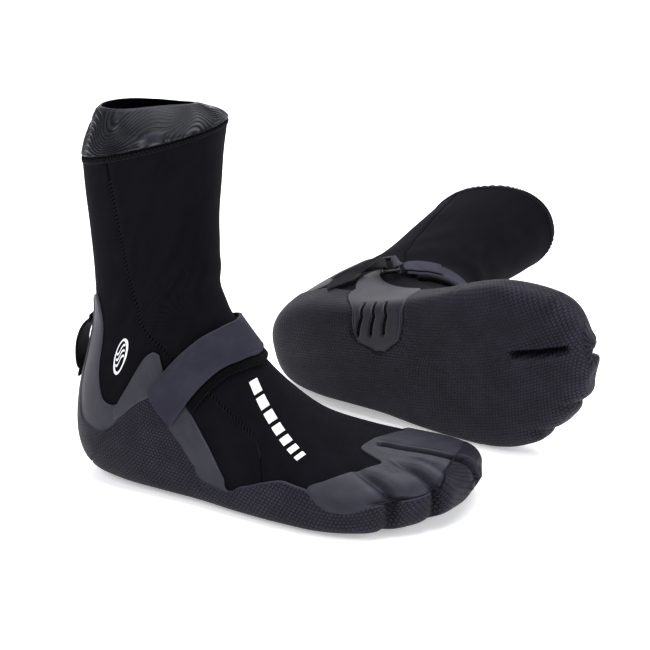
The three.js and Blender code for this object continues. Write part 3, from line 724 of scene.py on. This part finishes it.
def blotched(tree, mottle, low, high):
    return mixed(tree, mottle["Blotch"], shade(*low), shade(*high))


def worn(tree, flow, rim, base, width, amount, colour):
    """The base with a paler colour where its edge is worn."""
    mask = use(tree, wear, Place=flow, Rim=rim, Width=width, Amount=amount)["Mask"]
    return mixed(tree, mask, base, shade(*colour))


# Each look gives its Base Color, bump Height and bump depth in millimetres.
def tread_look(tree, flow, rim, mottle):
    comb = use(tree, cells, Place=flow, Pitch=(2.6, 2.6, 1.0))
    fade = span(tree, rim, 0.7, 1.6)
    # the grooves between the cells are filled with near black as painted shade
    groove = times(tree, comb["Groove"], times(tree, fade, 0.9))
    base = mixed(tree, groove, blotched(tree, mottle, (29, 27, 37), (39, 37, 49)), shade(5, 5, 8))
    cell_height = times(tree, comb["Height"], fade)
    height = plus(tree, cell_height, times(tree, mottle["Height"], 0.25))
    return worn(tree, flow, rim, base, 2.2, 0.55, (56, 55, 66)), height, 0.6


def smooth_look(tree, flow, rim, mottle):
    base = blotched(tree, mottle, (31, 30.5, 38), (41, 40, 49))
    return worn(tree, flow, rim, base, 1.3, 0.6, (72, 72, 83)), mottle["Height"], 0.05


def neoprene_look(tree, flow, rim, mottle):
    stitches = use(tree, knit, Place=flow, Pitch=1.15)["Height"]
    base = blotched(tree, mottle, (13, 12, 18), (19, 18, 25))
    # painted shade in the hollows between the knit's ribs
    base = mixed(tree, span(tree, stitches, -0.4, 0.5), shade(8, 8, 10), base)
    # painted shade along each panel's border, where it meets a seam, the cuff or an overlay
    base = mixed(tree, span(tree, rim, 2.4, 0.2, 0.0, 0.5), base, shade(7, 7, 9))
    height = plus(tree, stitches, times(tree, mottle["Height"], 0.8))
    return base, height, 0.06


def cuff_look(tree, flow, rim, mottle):
    base = blotched(tree, mottle, (19, 19, 27), (28, 28, 38))
    base = mixed(tree, span(tree, rim, 3.75, 3.2), base, shade(4, 4, 6))  # painted shade in the valleys between the ridges and along the sewn edge
    return worn(tree, flow, rim, base, 1.6, 0.4, (36, 36, 44)), mottle["Height"], 0.05


def strap_look(tree, flow, rim, mottle):
    base = blotched(tree, mottle, (36, 35, 46), (45, 44, 56))
    base = mixed(tree, span(tree, mottle["Height"], 0.35, 0.65, 0.0, 0.35), base, shade(28, 28, 34))
    return worn(tree, flow, rim, base, 1.1, 0.5, (64, 64, 72)), mottle["Height"], 0.12


def pile_look(tree, flow, rim, mottle):
    loops = add(tree, "TexVoronoi", {"Vector": flow, "Scale": 1.25}, feature="F1").outputs[0]
    # painted shade in the low gaps between the loops
    base = mixed(tree, loops, shade(9, 9, 11), shade(3, 3, 4))
    return base, maths(tree, "SUBTRACT", 1.0, loops), 0.5


def webbing_look(tree, flow, rim, mottle):
    over = use(tree, weave, Place=flow, Pitch=1.9)["Height"]
    # painted shade where the threads pass under, lighter where they pass over
    base = mixed(tree, over, shade(5, 5, 6), shade(17, 17, 20))
    return mixed(tree, span(tree, rim, 1.0, 0.2, 0.0, 0.5), base, shade(24, 24, 28)), over, 0.3


def thread_look(tree, flow, rim, mottle):
    twist = use(tree, weave, Place=flow, Pitch=2.5)["Height"]
    # painted shade in the grooves of the twist
    return mixed(tree, twist, shade(7, 7, 9), shade(19, 19, 24)), twist, 0.08


def plastic_look(tree, flow, rim, mottle):
    return blotched(tree, mottle, (9, 9, 11), (16, 16, 20)), mottle["Height"], 0.04


def print_look(tree, flow, rim, mottle):
    base = blotched(tree, mottle, (226, 226, 228), (242, 242, 243))
    faded = span(tree, mottle["Height"], 0.62, 0.75, 0.0, 0.4)
    return mixed(tree, faded, base, shade(190, 190, 196)), mottle["Height"], 0.06


# name, slot, look, grain scale, roughness from and to
neoprene = finish(
    "Neoprene jersey", "neoprene", neoprene_look, 1.6, (0.8, 0.93),
    Sheen_Weight=0.01, Sheen_Roughness=0.5, Specular_IOR_Level=0.03,
)
tape = finish("Seam tape", "seam_tape", plastic_look, 2.0, (0.3, 0.44))
tread = finish("Honeycomb rubber", "tread_rubber", tread_look, 2.4, (0.5, 0.64), Specular_IOR_Level=0.12)
rubber = finish("Smooth rubber", "smooth_rubber", smooth_look, 3.2, (0.4, 0.54), Specular_IOR_Level=0.2)
cuff_skin = finish("Ridged cuff skin", "cuff_skin", cuff_look, 2.0, (0.2, 0.32), Specular_IOR_Level=0.16)
thread = finish("Sewing thread", "stitching", thread_look, 2.0, (0.55, 0.7), Specular_IOR_Level=0.12)
# loop pile on the strap pad, and near-black painted shade in the arch slots and the toe slit
pile_and_painted_shade = finish(
    "Loop pile", "loop_pile", pile_look, 4.0, (0.86, 0.97), Sheen_Weight=0.02, Specular_IOR_Level=0.03
)
hooks = finish("Hook tape", "hook_tape", pile_look, 4.0, (0.86, 0.97), Specular_IOR_Level=0.1)
strap_rubber = finish("Strap rubber", "strap_rubber", strap_look, 5.0, (0.62, 0.78), Specular_IOR_Level=0.1)
webbing = finish("Black webbing", "webbing", webbing_look, 3.0, (0.66, 0.82), Specular_IOR_Level=0.06)
ring_plastic = finish(
    "Ring plastic", "ring_plastic", plastic_look, 2.0, (0.3, 0.44), Specular_IOR_Level=0.15
)
white_print = finish("White print", "white_print", print_look, 2.0, (0.45, 0.6))


# ---------------------------------------------------------------- neoprene uppers
def seam_back(s):
    return 360 - seam_line(s)


front_grid = lengthwise(along(0.085, 1.0, 1.7), seam_line, seam_back, 88, edge=1.8)
patch("front_upper", front_grid, -NEOPRENE, 0.0, neoprene, "front_panel", edge=1.8, drop=1.1)
rear_grid = lengthwise(along(0.336, 1.0, 1.7), lambda s: -seam_line(s), seam_line, 110, edge=1.8)
patch("rear_upper", rear_grid, -NEOPRENE, 0.0, neoprene, "rear_panel", edge=1.8, drop=1.1)
bed_grid = lengthwise(along(0.02, 0.56, 4.0), lambda s: -62 + 0 * s, lambda s: 62 + 0 * s, 24)
patch("footbed", bed_grid, -NEOPRENE - 0.5, -0.6, neoprene, "footbed_panel")


# Sewn seams: a short thread crosses the seam at every step.
def stitches(line, start, end, pitch, reach, offset, radius):
    """Little bars across a seam line, each an arc that starts and ends in the cloth."""
    fine = np.linspace(start, end, 900)
    path = skin(fine, line(fine), 0.0)
    run = np.concatenate([[0], np.cumsum(np.linalg.norm(np.diff(path, axis=0), axis=-1))])
    places = np.interp(np.arange(pitch, run[-1] - pitch, pitch), run, fine)
    share = np.linspace(-1, 1, 7)
    made = []
    per_degree = lookup(GIRTH, places, line(places) + 1) - lookup(GIRTH, places, line(places))
    for s, mm in zip(places, per_degree):
        lean = 0.0016 * share
        turns = line(np.array([s]))[0] + share * reach / max(mm, 0.1)
        made.append(tube(skin(s + lean, turns, offset + 0.55 * (1 - share**2)), radius, sides=6))
    return joined(made)


SEAMS = {"outer": seam_line, "inner": seam_back}
for side, line in SEAMS.items():
    piece(f"{side}_seam_stitches", stitches(line, 0.352, 0.965, 2.6, 1.7, -0.5, 0.33), thread)


def tape_grid(line):
    return lengthwise(along(0.37, 0.985, 6.0), lambda s: line(s) - 8, lambda s: line(s) + 8, 8, edge=0.6)


TAPE_TOP, TAPE_DEPTH = -NEOPRENE - GAP - 1.6, 0.6
for side, line in SEAMS.items():
    patch(f"{side}_tape", tape_grid(line), TAPE_TOP - TAPE_DEPTH, TAPE_TOP, tape, f"{side}_seam_tape")


# ---------------------------------------------------------------- moulded rubber
def rubber_top(s, a):
    under = np.clip(1.6 * np.cos(np.radians(a)), 0, 1) * np.clip(1 - (s - 0.6) * 12, 0, 1)
    return GAP + RUBBER + (TREAD - RUBBER) * under


def in_arch(s, a, grow):
    """1 inside the arch patch's outline, fading over a millimetre, grown by grow in s."""
    b = -a
    inside = np.minimum(s - (arch_front(b) - grow), (arch_rear(b) + grow) - s) * PER_S
    return ramp(inside, -0.5, 0.5) * ramp(b, 1.0, 3.0) * ramp(-b, -107.0, -105.0)


def tread_relief(s, a, rim):
    sunk = -1.5 * in_arch(s, a, 0.002)
    flex = sum(-0.5 * bell(s - at, 0.0035) for at in (0.275, 0.302))
    flex = flex * ramp(np.abs(a), 60, 75) * ramp(-np.abs(a), -118, -96)
    return sunk + flex


nose_rows, toe_rows = np.linspace(-NOSE, 0, 9)[:-1], np.linspace(0, 0.3, 118)[:-1]
heel_rows = along(0.3, 0.815, 2.1)[len(ROUNDING) :]
tread_grid = lengthwise(
    np.concatenate([nose_rows, toe_rows, heel_rows]),
    lambda s: -inner_rubber(s),
    outer_rubber,
    140,
    edge=1.5,
    crowd=lambda place: 2.2 * bell(place + 9, 5),
)
outsole = shell(tread_grid, GAP, rubber_top, edge=1.5, relief=tread_relief)
points, faces, flow = outsole
points[:, 2] = np.maximum(points[:, 2], 0.0)  # the tread rests flat
piece("outsole_rubber", (points, faces, flow), tread, stands_for=["outsole"], weld=True)


ARCH_SLOTS = [0.375, 0.395, 0.415]


def knee(a):
    return 0.00027 * np.abs(a + 42)


def arch_relief(s, a, rim):
    """Three slanted slots with a knee in the middle, and a fine line round the border."""
    cut = sum(bell((s - at - knee(a)) * PER_S, 1.05) for at in ARCH_SLOTS)
    cut = cut * ramp(-a, 12, 17) * ramp(a, -78, -72)
    return -2.2 * np.clip(cut, 0, 1) - 0.3 * bell(rim - 2.4, 0.45)


arch_grid = crosswise(-105, -3, lambda a: arch_front(-a), lambda a: arch_rear(-a), 120, 84)
ARCH_LOW, ARCH_LIFT = 0.95, 0.1  # its inner face, and its rise above the tread
patch(
    "arch_patch_skin", arch_grid, ARCH_LOW, lambda s, a: rubber_top(s, a) + ARCH_LIFT,
    rubber, "arch_patch", relief=arch_relief,
)

SLOT_HALF, SLOT_SUNK = 1.3 / PER_S, 0.7


def slot_shade_strip(at):
    """A dark strip of painted shade at the bottom of one slot."""

    def low(a):
        return at + knee(a) - SLOT_HALF

    def high(a):
        return at + knee(a) + SLOT_HALF

    shade_strip = crosswise(-75, -15, low, high, 40, 8, edge=0.2)
    return shell(shade_strip, 0.9, lambda s, a: rubber_top(s, a) - SLOT_SUNK, edge=0.2)


# near-black strips of painted shade down in the three arch slots
piece("arch_slot_painted_shade", joined([slot_shade_strip(at) for at in ARCH_SLOTS]), pile_and_painted_shade)

cap_grid = crosswise(
    90, 270, cap_front, cap_rear, 150, 76, edge=1.4, crowd=lambda a: 2.0 * bell(a - 174, 5)
)
patch("toe_cap_skin", cap_grid, GAP, GAP + OVERLAY, rubber, "toe_cap", edge=1.4)


SLIT_DEEP, SLIT_RISE, SLIT_CORD = 4.2, 2.6, 1.9  # depth at the rear, less at the front; radius


def slit_shadow():
    """A dark cord of painted shadow at the bottom of the slit between the toes: for each
    point of the slit the nearest point of the surface in plan, lowered more at the rear than at the front."""
    s, a = np.meshgrid(np.linspace(0.02, 0.35, 240), np.linspace(95, 265, 240), indexing="ij")
    surface = boot(s, a).reshape(-1, 3)
    start, end = np.array(TOP_SLIT[0], float), np.array(TOP_SLIT[1], float)
    share = np.linspace(0.12, 0.92, 30)[:, None]
    line = start + share * (end - start)
    nearest = np.argmin(np.linalg.norm(surface[None, :, :2] - line[:, None], axis=-1), axis=1)
    height = np.convolve(np.pad(surface[nearest, 2], 3, mode="edge"), np.ones(7) / 7, "valid")
    depth = height - SLIT_DEEP + SLIT_RISE * share[:, 0]
    return tube(np.stack([line[:, 0], line[:, 1], depth], -1), SLIT_CORD)


# a near-black cord of painted shadow along the bottom of the toe slit
piece("toe_slit_painted_shadow", slit_shadow(), pile_and_painted_shade)


# The heel overlays' front edges: the outer one carries a lobe.
outer_edge = curve([
    [0.545, 96], [0.555, 110], [0.568, 111.5], [0.582, 110], [0.592, 103], [0.6, 90],
    [0.61, 83], [0.622, 78], [0.642, 72], [0.7, 64], [0.75, 58], [0.8, 44], [0.818, 36],
])
inner_edge = curve([
    [0.59, 66], [0.6, 80], [0.62, 79], [0.642, 72], [0.7, 64], [0.75, 58], [0.8, 44],
    [0.818, 36],
])


def outer_low(s):
    return np.minimum(outer_rubber(s) - 6 * ramp(s, 0.58, 0.6), outer_edge(s) - 3)


def inner_low(s):
    return np.minimum(inner_rubber(s) - 6, inner_edge(s) - 3)


back_outer = lengthwise(along(0.548, 0.818, 1.6), outer_low, outer_edge, 26)
back_inner = lengthwise(along(0.595, 0.818, 1.6), lambda s: -inner_edge(s), lambda s: -inner_low(s), 26)
for side, grid in (("outer", back_outer), ("inner", back_inner)):
    patch(f"{side}_overlay_skin", grid, GAP, GAP + OVERLAY, rubber, f"{side}_heel_overlay")
lobe_low = curve([[82, 0.588], [92, 0.574], [104, 0.552], [113, 0.545]])
lobe_high = curve([[82, 0.604], [88, 0.611], [96, 0.621], [103, 0.627], [109, 0.62], [113, 0.6]])
lobe_grid = crosswise(82, 113, lobe_low, lobe_high, 40, 40)
LOBE_SUNK, LOBE_LIFT = 0.5, 0.8  # into and above the overlay's face
lobe_mesh = shell(lobe_grid, GAP + OVERLAY - LOBE_SUNK, GAP + OVERLAY + LOBE_LIFT)
piece("outer_lobe_skin", lobe_mesh, rubber)


def wedge_high(s):
    return np.maximum(wedge_top(s), outer_rubber(s) - 3)


wedge_grid = lengthwise(along(0.38, 0.5, 1.2), lambda s: outer_rubber(s) - 5, wedge_high, 30)
patch("side_wedge_skin", wedge_grid, GAP, GAP + OVERLAY, rubber, "side_wedge")


# ---------------------------------------------------------------- cuff
def contour(turn, height):
    """Height lines of a rolling field, like wood grain: cosine of the field over a pitch."""
    field = 5.2 * np.sin(2 * turn + 0.6) * np.sin(height / 10 + 0.8)
    field += 3.6 * np.sin(3 * turn + height / 12 + 2.1) + 2.0 * np.sin(7 * turn - height / 15 + 0.4)
    field += 1.3 * np.sin(5 * turn + height / 7) + 0.42 * height
    return np.cos(2 * np.pi * field / 1.5)


RIDGE = 0.8
PINCH, SHIN_PINCH = 0.34, 0.46  # shares of the mouth's width pressed in, and more at the shin
LEAN = 5.0
CUFF_TURNS = np.linspace(0, 360, 900, endpoint=False)
seam_ring = boot(1.0, CUFF_TURNS)
seam_out = seam_ring - seam_ring.mean(0)


def cuff_ring(v, depth):
    """The seam's ring drawn in towards its middle by the taper and carried up the shaft."""
    reach = np.linalg.norm(seam_out, axis=-1, keepdims=True)
    bulge = 1.2 * np.sin(np.pi * min(max(v, 0), 1))
    reach = reach * (1 - CUFF_TAPER * max(v, 0) ** 1.3) - np.asarray(depth).reshape(-1, 1) + bulge
    height = CUFF_HEIGHT * (1 - CUFF_DIP * (1 - np.cos(np.radians(CUFF_TURNS))) / 2)
    out = unit(seam_out) * reach
    # the mouth is pressed flat, most of all towards the shin, and leans back to the heel
    rise = max(v, 0)
    pinch = PINCH * rise**1.6 + SHIN_PINCH * rise**1.8 * ramp(out[:, 0], -26.0, 30.0)
    out[:, 1] *= 1 - pinch
    out[:, 0] -= LEAN * rise**1.5
    return seam_ring.mean(0) + out + SHAFT_AXIS * (GAP + height[:, None] * v)


def cuff_mesh():
    """Outer wall with raised contour ridges, a rolled rim, and the inner wall, as one loop of
    rings; ridges fade out at the rim and at the sewn edge."""
    turn = np.radians(CUFF_TURNS)
    levels = np.linspace(-0.03, 0.94, 120)
    outer = []
    crests = []
    for v in levels:
        ridge = RIDGE * (1 + contour(turn, CUFF_HEIGHT * v)) / 2 * ramp(v, 0.0, 0.06)
        crests.append(ridge)
        lip = 1.0 * ramp(v, 0.04, -0.03)
        outer.append(cuff_ring(v, -ridge + lip))
    roll = np.linspace(0, np.pi, 9)[1:-1]
    half = CUFF_WALL / 2
    outer += [cuff_ring(0.94 + 0.05 * np.sin(q), half * (1 - np.cos(q)) + 0 * turn) for q in roll]
    outer += [cuff_ring(v, CUFF_WALL + 0 * turn) for v in np.linspace(0.94, -0.01, 16)]
    grid = np.array(outer)
    rows, cols = grid.shape[:2]
    height = np.linalg.norm(grid - grid[:1], axis=-1)
    girth = np.abs(np.mod(turn + np.pi, 2 * np.pi) - np.pi) * 36
    flow = np.stack([height, np.tile(girth, (rows, 1)), np.full((rows, cols), NO_RIM)], -1)
    flow[: len(levels), :, 2] = 3 + np.array(crests) / RIDGE  # 3 in a valley, 4 on a crest; the cuff's colour paints shade into the valleys
    # towards the sewn edge it falls to 0, where the colour is painted shade and edge wear
    flow[:6, :, 2] = np.minimum(flow[:6, :, 2], np.linspace(0, 4, 6)[:, None])
    return grid.reshape(-1, 3), ring_quads(rows, cols, True), flow.reshape(-1, 3)


piece("cuff_skin", cuff_mesh(), cuff_skin, stands_for=["cuff_band"])


def overlock():
    """A zigzag of thread round the cuff seam: a triangle wave between two heights."""
    teeth = 118
    angle = np.linspace(0, 360, teeth * 6, endpoint=False)
    wave = 2 * np.abs(np.mod(angle * teeth / 360, 1) - 0.5) * 2 - 1
    s = 0.9945 + 0.0034 * np.clip(1.4 * wave, -1, 1)
    lift = 0.2 + 0.2 * (1 - np.clip(1.4 * wave, -1, 1) ** 2)
    return tube(skin(s, angle, lift), 0.3, sides=6, loop=True)


def hem(s, lift, radius):
    angle = np.linspace(0, 360, 360, endpoint=False)
    return tube(skin(np.full(360, s), angle, np.full(360, lift)), radius, sides=8, loop=True)


edge_threads = joined([overlock(), hem(0.9905, 0.1, 0.28)])
piece("cuff_overlock", edge_threads, thread, stands_for=["cuff_stitching"])


# ---------------------------------------------------------------- strap, ring and tabs
def band_grid(a_from, a_to, below, above, rows, count, edge):
    low, high = lambda a: strap_line(a) - below, lambda a: strap_line(a) + above
    return crosswise(a_from, a_to, low, high, rows, count, edge=edge)


def strap_relief(s, a, rim):
    """A pressed line runs round the strap just inside its edge, and the loose end curls up."""
    return -0.28 * bell(rim - 2.6, 0.5) + 0.5 * ramp(-a, -110, -101)


def pad_relief(s, a, rim):
    """Where it shows beside the strap the pad swells into a soft edge."""
    return 1.7 * ramp(strap_line(a) - STRAP_HALF - s, 0.0005, 0.004)


pad_grid = band_grid(113, 236, STRAP_HALF + PAD_BELOW, STRAP_HALF - 0.004, 90, 28, 0.8)
patch("loop_pad", pad_grid, GAP, PAD_TOP, pile_and_painted_shade, "strap_pad", edge=0.8, relief=pad_relief)
hook_grid = band_grid(115, 139, STRAP_HALF - 0.006, STRAP_HALF - 0.008, 14, 14, 0.4)
patch("hook_tape", hook_grid, PAD_TOP + GAP, HOOK_TOP, hooks, "hook_patch", body="strap", edge=0.4)
strap_grid = band_grid(101, 241, STRAP_HALF, STRAP_HALF, 150, 44, 1.0)
patch(
    "strap_band", strap_grid, HOOK_TOP + GAP, STRAP_TOP, strap_rubber, "instep_strap",
    body="strap", edge=1.0, relief=strap_relief,
)

WRAP = WIRE / 2 + 0.35 + 0.75  # middle of a band wrapped round a bar
BAND = 1.3


def wrapped_band(turns, lift, bar, half_width, back):
    """A band's middle surface: it lies over the boot at the given turns, goes round the ring
    bar in an arc, and comes back below itself for a few millimetres."""
    across = np.linspace(-half_width, half_width, 25)
    level = np.full(25, lift)
    flat = np.array([skin(strap_line(t) + across / PER_S, np.full(25, t), level) for t in turns])
    way = np.sign(bar)
    # on the boot's side the band rises to the bar on a tangent, clear of it
    angles = np.linspace(130, -100, 24) if way < 0 else np.linspace(80, 280, 22)
    round_bar = np.radians(angles)
    x, z = bar + WRAP * np.cos(round_bar), BAR_HEIGHT + WRAP * np.sin(round_bar)
    arc = np.array([by_ring(p, across, q) for p, q in zip(x, z)])
    tail = np.array([by_ring(x[-1] + way * step, across, z[-1] - 0.12 * step) for step in back])
    join = flat[-1] * 0.5 + arc[0] * 0.5
    return np.concatenate([flat, join[None], arc, tail])


ring_side = np.linspace(219, 242, 14)
tab = wrapped_band(ring_side, STRAP_TOP + GAP + BAND / 2, BAR_OFFSET, (STRAP_WIDTH - 2) / 2, [0.8, 1.6])
piece("return_tab", thickened(tab, BAND / 2), strap_rubber, body="strap", stands_for=["strap_return_tab"])
boot_side = np.linspace(278, 268, 10)
anchor = wrapped_band(boot_side, GAP + RUBBER + 1.1, -BAR_OFFSET, (STRAP_WIDTH - 2) / 2, [0.8])
piece("ring_anchor", thickened(anchor[:, ::-1], BAND / 2), webbing, stands_for=["ring_webbing"])


def ring_path():
    """A rectangle with round corners through the middle of the wire."""
    half_x, half_y = BAR_OFFSET, STRAP_WIDTH / 2 + 1 + WIRE / 2
    path = []
    for k, (p, q) in enumerate([(1, 1), (-1, 1), (-1, -1), (1, -1)]):
        angle = np.radians(np.linspace(90 * k, 90 * k + 90, 8))
        x = p * (half_x - RING_CORNER) + RING_CORNER * np.cos(angle)
        y = q * (half_y - RING_CORNER) + RING_CORNER * np.sin(angle)
        path.append(np.stack([x, y], -1))
    path = np.concatenate(path)
    return by_ring(path[:, 0], path[:, 1], BAR_HEIGHT)


def ring_mesh():
    """A round bar along the ring's path, with even steps round the whole path."""
    path = ring_path()
    run = np.concatenate([[0], np.cumsum(np.linalg.norm(np.roll(path, -1, 0) - path, axis=-1))])
    closed_path = np.concatenate([path, path[:1]])
    places = np.linspace(0, run[-1], 160, endpoint=False)
    even = np.stack([np.interp(places, run, closed_path[:, k]) for k in range(3)], -1)
    ahead = unit(np.roll(even, -1, 0) - np.roll(even, 1, 0))
    up = RING_AXES[2]
    side = np.cross(ahead, up)
    angle = np.linspace(0, 2 * np.pi, 16, endpoint=False)
    ring = np.cos(angle)[None, :, None] * side[:, None] + np.sin(angle)[None, :, None] * up
    points = even[:, None] + WIRE / 2 * ring
    rows, cols = points.shape[:2]
    around = np.tile(angle * WIRE / 2, (rows, 1))
    flow = np.stack([np.tile(places[:, None], (1, cols)), around, np.full((rows, cols), NO_RIM)], -1)
    return points.reshape(-1, 3), ring_quads(rows, cols, True), flow.reshape(-1, 3)


piece("ring_loop", ring_mesh(), ring_plastic, body="ring", stands_for=["strap_ring"])


# ---------------------------------------------------------------- heel pull loop
def pull_loop():
    """A webbing band stands off the heel in a D: its lift is a sine arch to the power 0.5
    between two sewn ends."""
    ends = np.linspace(-0.14, 0, 8)[:-1], np.linspace(1, 1.14, 8)[1:]
    t = np.concatenate([ends[0], np.linspace(0, 1, 60), ends[1]])
    s = LOOP_LOW + LOOP_RUN * t
    arch = np.sin(np.pi * np.clip(t, 0, 1)) ** 0.5
    lift = rubber_top(s, 0 * s) + 1.6 + LOOP_DEPTH * arch
    middle = skin(s, 0 * s, lift)
    across = np.linspace(-LOOP_WIDTH / 2, LOOP_WIDTH / 2, 24)
    turns = -np.degrees(np.arcsin(np.clip(across / HEEL_RADIUS, -1, 1)))
    s_grid, turn_grid, lift_grid = np.broadcast_arrays(s[:, None], turns, lift[:, None])
    wrapped = skin(s_grid, turn_grid, lift_grid)
    level = middle[:, None] + across[None, :, None] * np.array([0, 1.0, 0])
    weight = 0.4 * (1 - arch)[:, None, None]  # the sewn ends follow the heel part of the way
    return thickened((level * (1 - weight) + wrapped * weight)[:, ::-1], LOOP_HALF)


piece("pull_loop", pull_loop(), webbing, stands_for=["heel_pull_loop"])


# ---------------------------------------------------------------- prints
PRINT_LOW, PRINT_TOP = 0.02, 0.42


def decal(s0, a0, lean):
    """Maps flat (p, q) millimetres round a place to (s, a): p up the boot, q towards the
    toes, turned by lean degrees, from the surface's own tangents there."""
    up = (boot(s0 + 0.005, a0) - boot(s0 - 0.005, a0)) / 0.01
    turn = boot(s0, a0 + 0.5) - boot(s0, a0 - 0.5)
    per_s, per_a = np.linalg.norm(up), np.linalg.norm(turn)
    c, d = np.cos(np.radians(lean)), np.sin(np.radians(lean))

    def slab(p, q):
        p, q = np.broadcast_arrays(p, q)
        grid = (s0 + (p * c - q * d) / per_s, a0 + (p * d + q * c) / per_a)
        return shell(grid, PRINT_LOW, PRINT_TOP, edge=0.3)

    return slab


def oval_ring(slab, long, wide, band):
    """Two half rings, each a grid of radius and angle."""
    parts = []
    for start in (0, 180):
        angle = np.radians(np.linspace(start, start + 180, 40))[:, None]
        share = np.linspace(1, 0, 8)[None]
        parts.append(slab((long - band * share) * np.cos(angle), (wide - band * share) * np.sin(angle)))
    return parts


def wave_bar(slab, length, swing, width, shift):
    """A bar whose middle line is one period of a sine."""
    q = np.linspace(-length / 2, length / 2, 40)[None]
    edge = np.linspace(-width / 2, width / 2, 6)[:, None]
    return slab(swing * np.sin(2 * np.pi * q / length) + shift + edge, q)


emblem = decal(0.677, 86.0, 0.0)
waves = [wave_bar(emblem, 9.5, 1.6, 1.7, shift) for shift in (-3.4, 0.6, 4.6)]
emblem_mesh = joined(oval_ring(emblem, 12, 7.5, 1.7) + waves)
piece("emblem_print", emblem_mesh, white_print, stands_for=["side_emblem"])


def vamp_mark():
    """A row of slanted bars that get narrower, along a line over the vamp: p along it, q
    across it."""
    length, height, slant = 60.0, 12.0, 0.32
    parts = []
    edge = 0.0
    for width in (9.5, 8.2, 7.0, 5.8, 4.8, 3.8, 2.9):
        p = np.linspace(edge, edge + width, 12)[None]
        q = np.linspace(-height / 2, height / 2, 16)[:, None]
        run = (p + slant * q) / length
        s = 0.412 - 0.115 * run
        a = 157.5 - 23.0 * run + q * 0.86 + 0 * p
        s, a = s[:, ::-1], a[:, ::-1]
        parts.append(shell((s, a), PRINT_LOW, PRINT_TOP, edge=0.3))
        edge += width + 2.6
    return joined(parts)


piece("vamp_bars", vamp_mark(), white_print, stands_for=["vamp_print"])

# ---------------------------------------------------------------- carried-over nodes
for node_name, node in frame["nodes"].items():
    if node_name.endswith("toe_divider"):
        for slot in node.material_slots:
            slot.material = neoprene


# ---------------------------------------------------------------- stage
def look_at(made, target):
    made.rotation_euler = (Vector(target) - made.location).to_track_quat("-Z", "Y").to_euler()


def softbox(name, place, target, size, power):
    light = bpy.data.lights.new(name, "AREA")
    light.energy, light.size = power, size
    light.color = (0.94, 0.95, 1.0)
    made = bpy.data.objects.new(name, light)
    bpy.context.scene.collection.objects.link(made)
    made.location = place
    look_at(made, target)


def sweep_floor():
    """A floor that curves up into a backdrop: its profile is a line, a quarter circle and a
    line, carried sideways."""
    angle = np.linspace(0, np.pi / 2, 24)
    back, radius = 2.4, 0.9
    bend = np.stack([back + radius * np.sin(angle), radius * (1 - np.cos(angle))], -1)
    profile = np.concatenate([[[-4.0, 0.0]], bend, [[back + radius, 4.0]]])
    points = np.array([[x, y, z] for x in (-5.0, 5.0) for y, z in profile])
    n = len(profile)
    faces = [(i, i + n, i + n + 1, i + 1) for i in range(n - 1)]
    data = bpy.data.meshes.new("studio_floor")
    data.from_pydata(points.tolist(), [], faces)
    data.shade_smooth()
    made = bpy.data.objects.new("studio_floor", data)
    bpy.context.scene.collection.objects.link(made)
    paper = bpy.data.materials.new("Studio paper")
    paper.use_nodes = True
    shader = paper.node_tree.nodes["Principled BSDF"]
    shader.inputs["Base Color"].default_value = (0.94, 0.94, 0.945, 1)
    shader.inputs["Roughness"].default_value = 0.9
    shader.inputs["Emission Color"].default_value = (1, 1, 1, 1)
    shader.inputs["Emission Strength"].default_value = 0.35
    data.materials.append(paper)


sweep_floor()
TARGET = tuple(SHIFT["right"] + np.array([0.1538, 0.06, 0.0962]))
softbox("Key softbox", (-0.9, -1.5, 1.6), TARGET, 1.0, 26)
softbox("Top softbox", (0.1, 0.5, 2.3), (0, 0.2, 0), 2.6, 95)
softbox("Right softbox", (1.7, -0.5, 0.9), TARGET, 0.8, 12)

world = bpy.data.worlds.new("Studio")
bpy.context.scene.world = world
bpy.context.scene.view_settings.view_transform = "Standard"
world.use_nodes = True
world.node_tree.nodes["Background"].inputs["Color"].default_value = (1, 1, 1, 1)
world.node_tree.nodes["Background"].inputs["Strength"].default_value = 0.45

AZIMUTH, ELEVATION, DISTANCE = np.radians(19.12), np.radians(21.30), 1.575
camera = bpy.data.objects.new("Camera", bpy.data.cameras.new("Camera"))
bpy.context.scene.collection.objects.link(camera)
camera.data.lens, camera.data.sensor_width = 130.05, 36
level = np.cos(ELEVATION)
back = Vector((np.sin(AZIMUTH) * level, -np.cos(AZIMUTH) * level, np.sin(ELEVATION)))
camera.location = Vector(TARGET) + back * DISTANCE
look_at(camera, TARGET)
bpy.context.scene.camera = camera
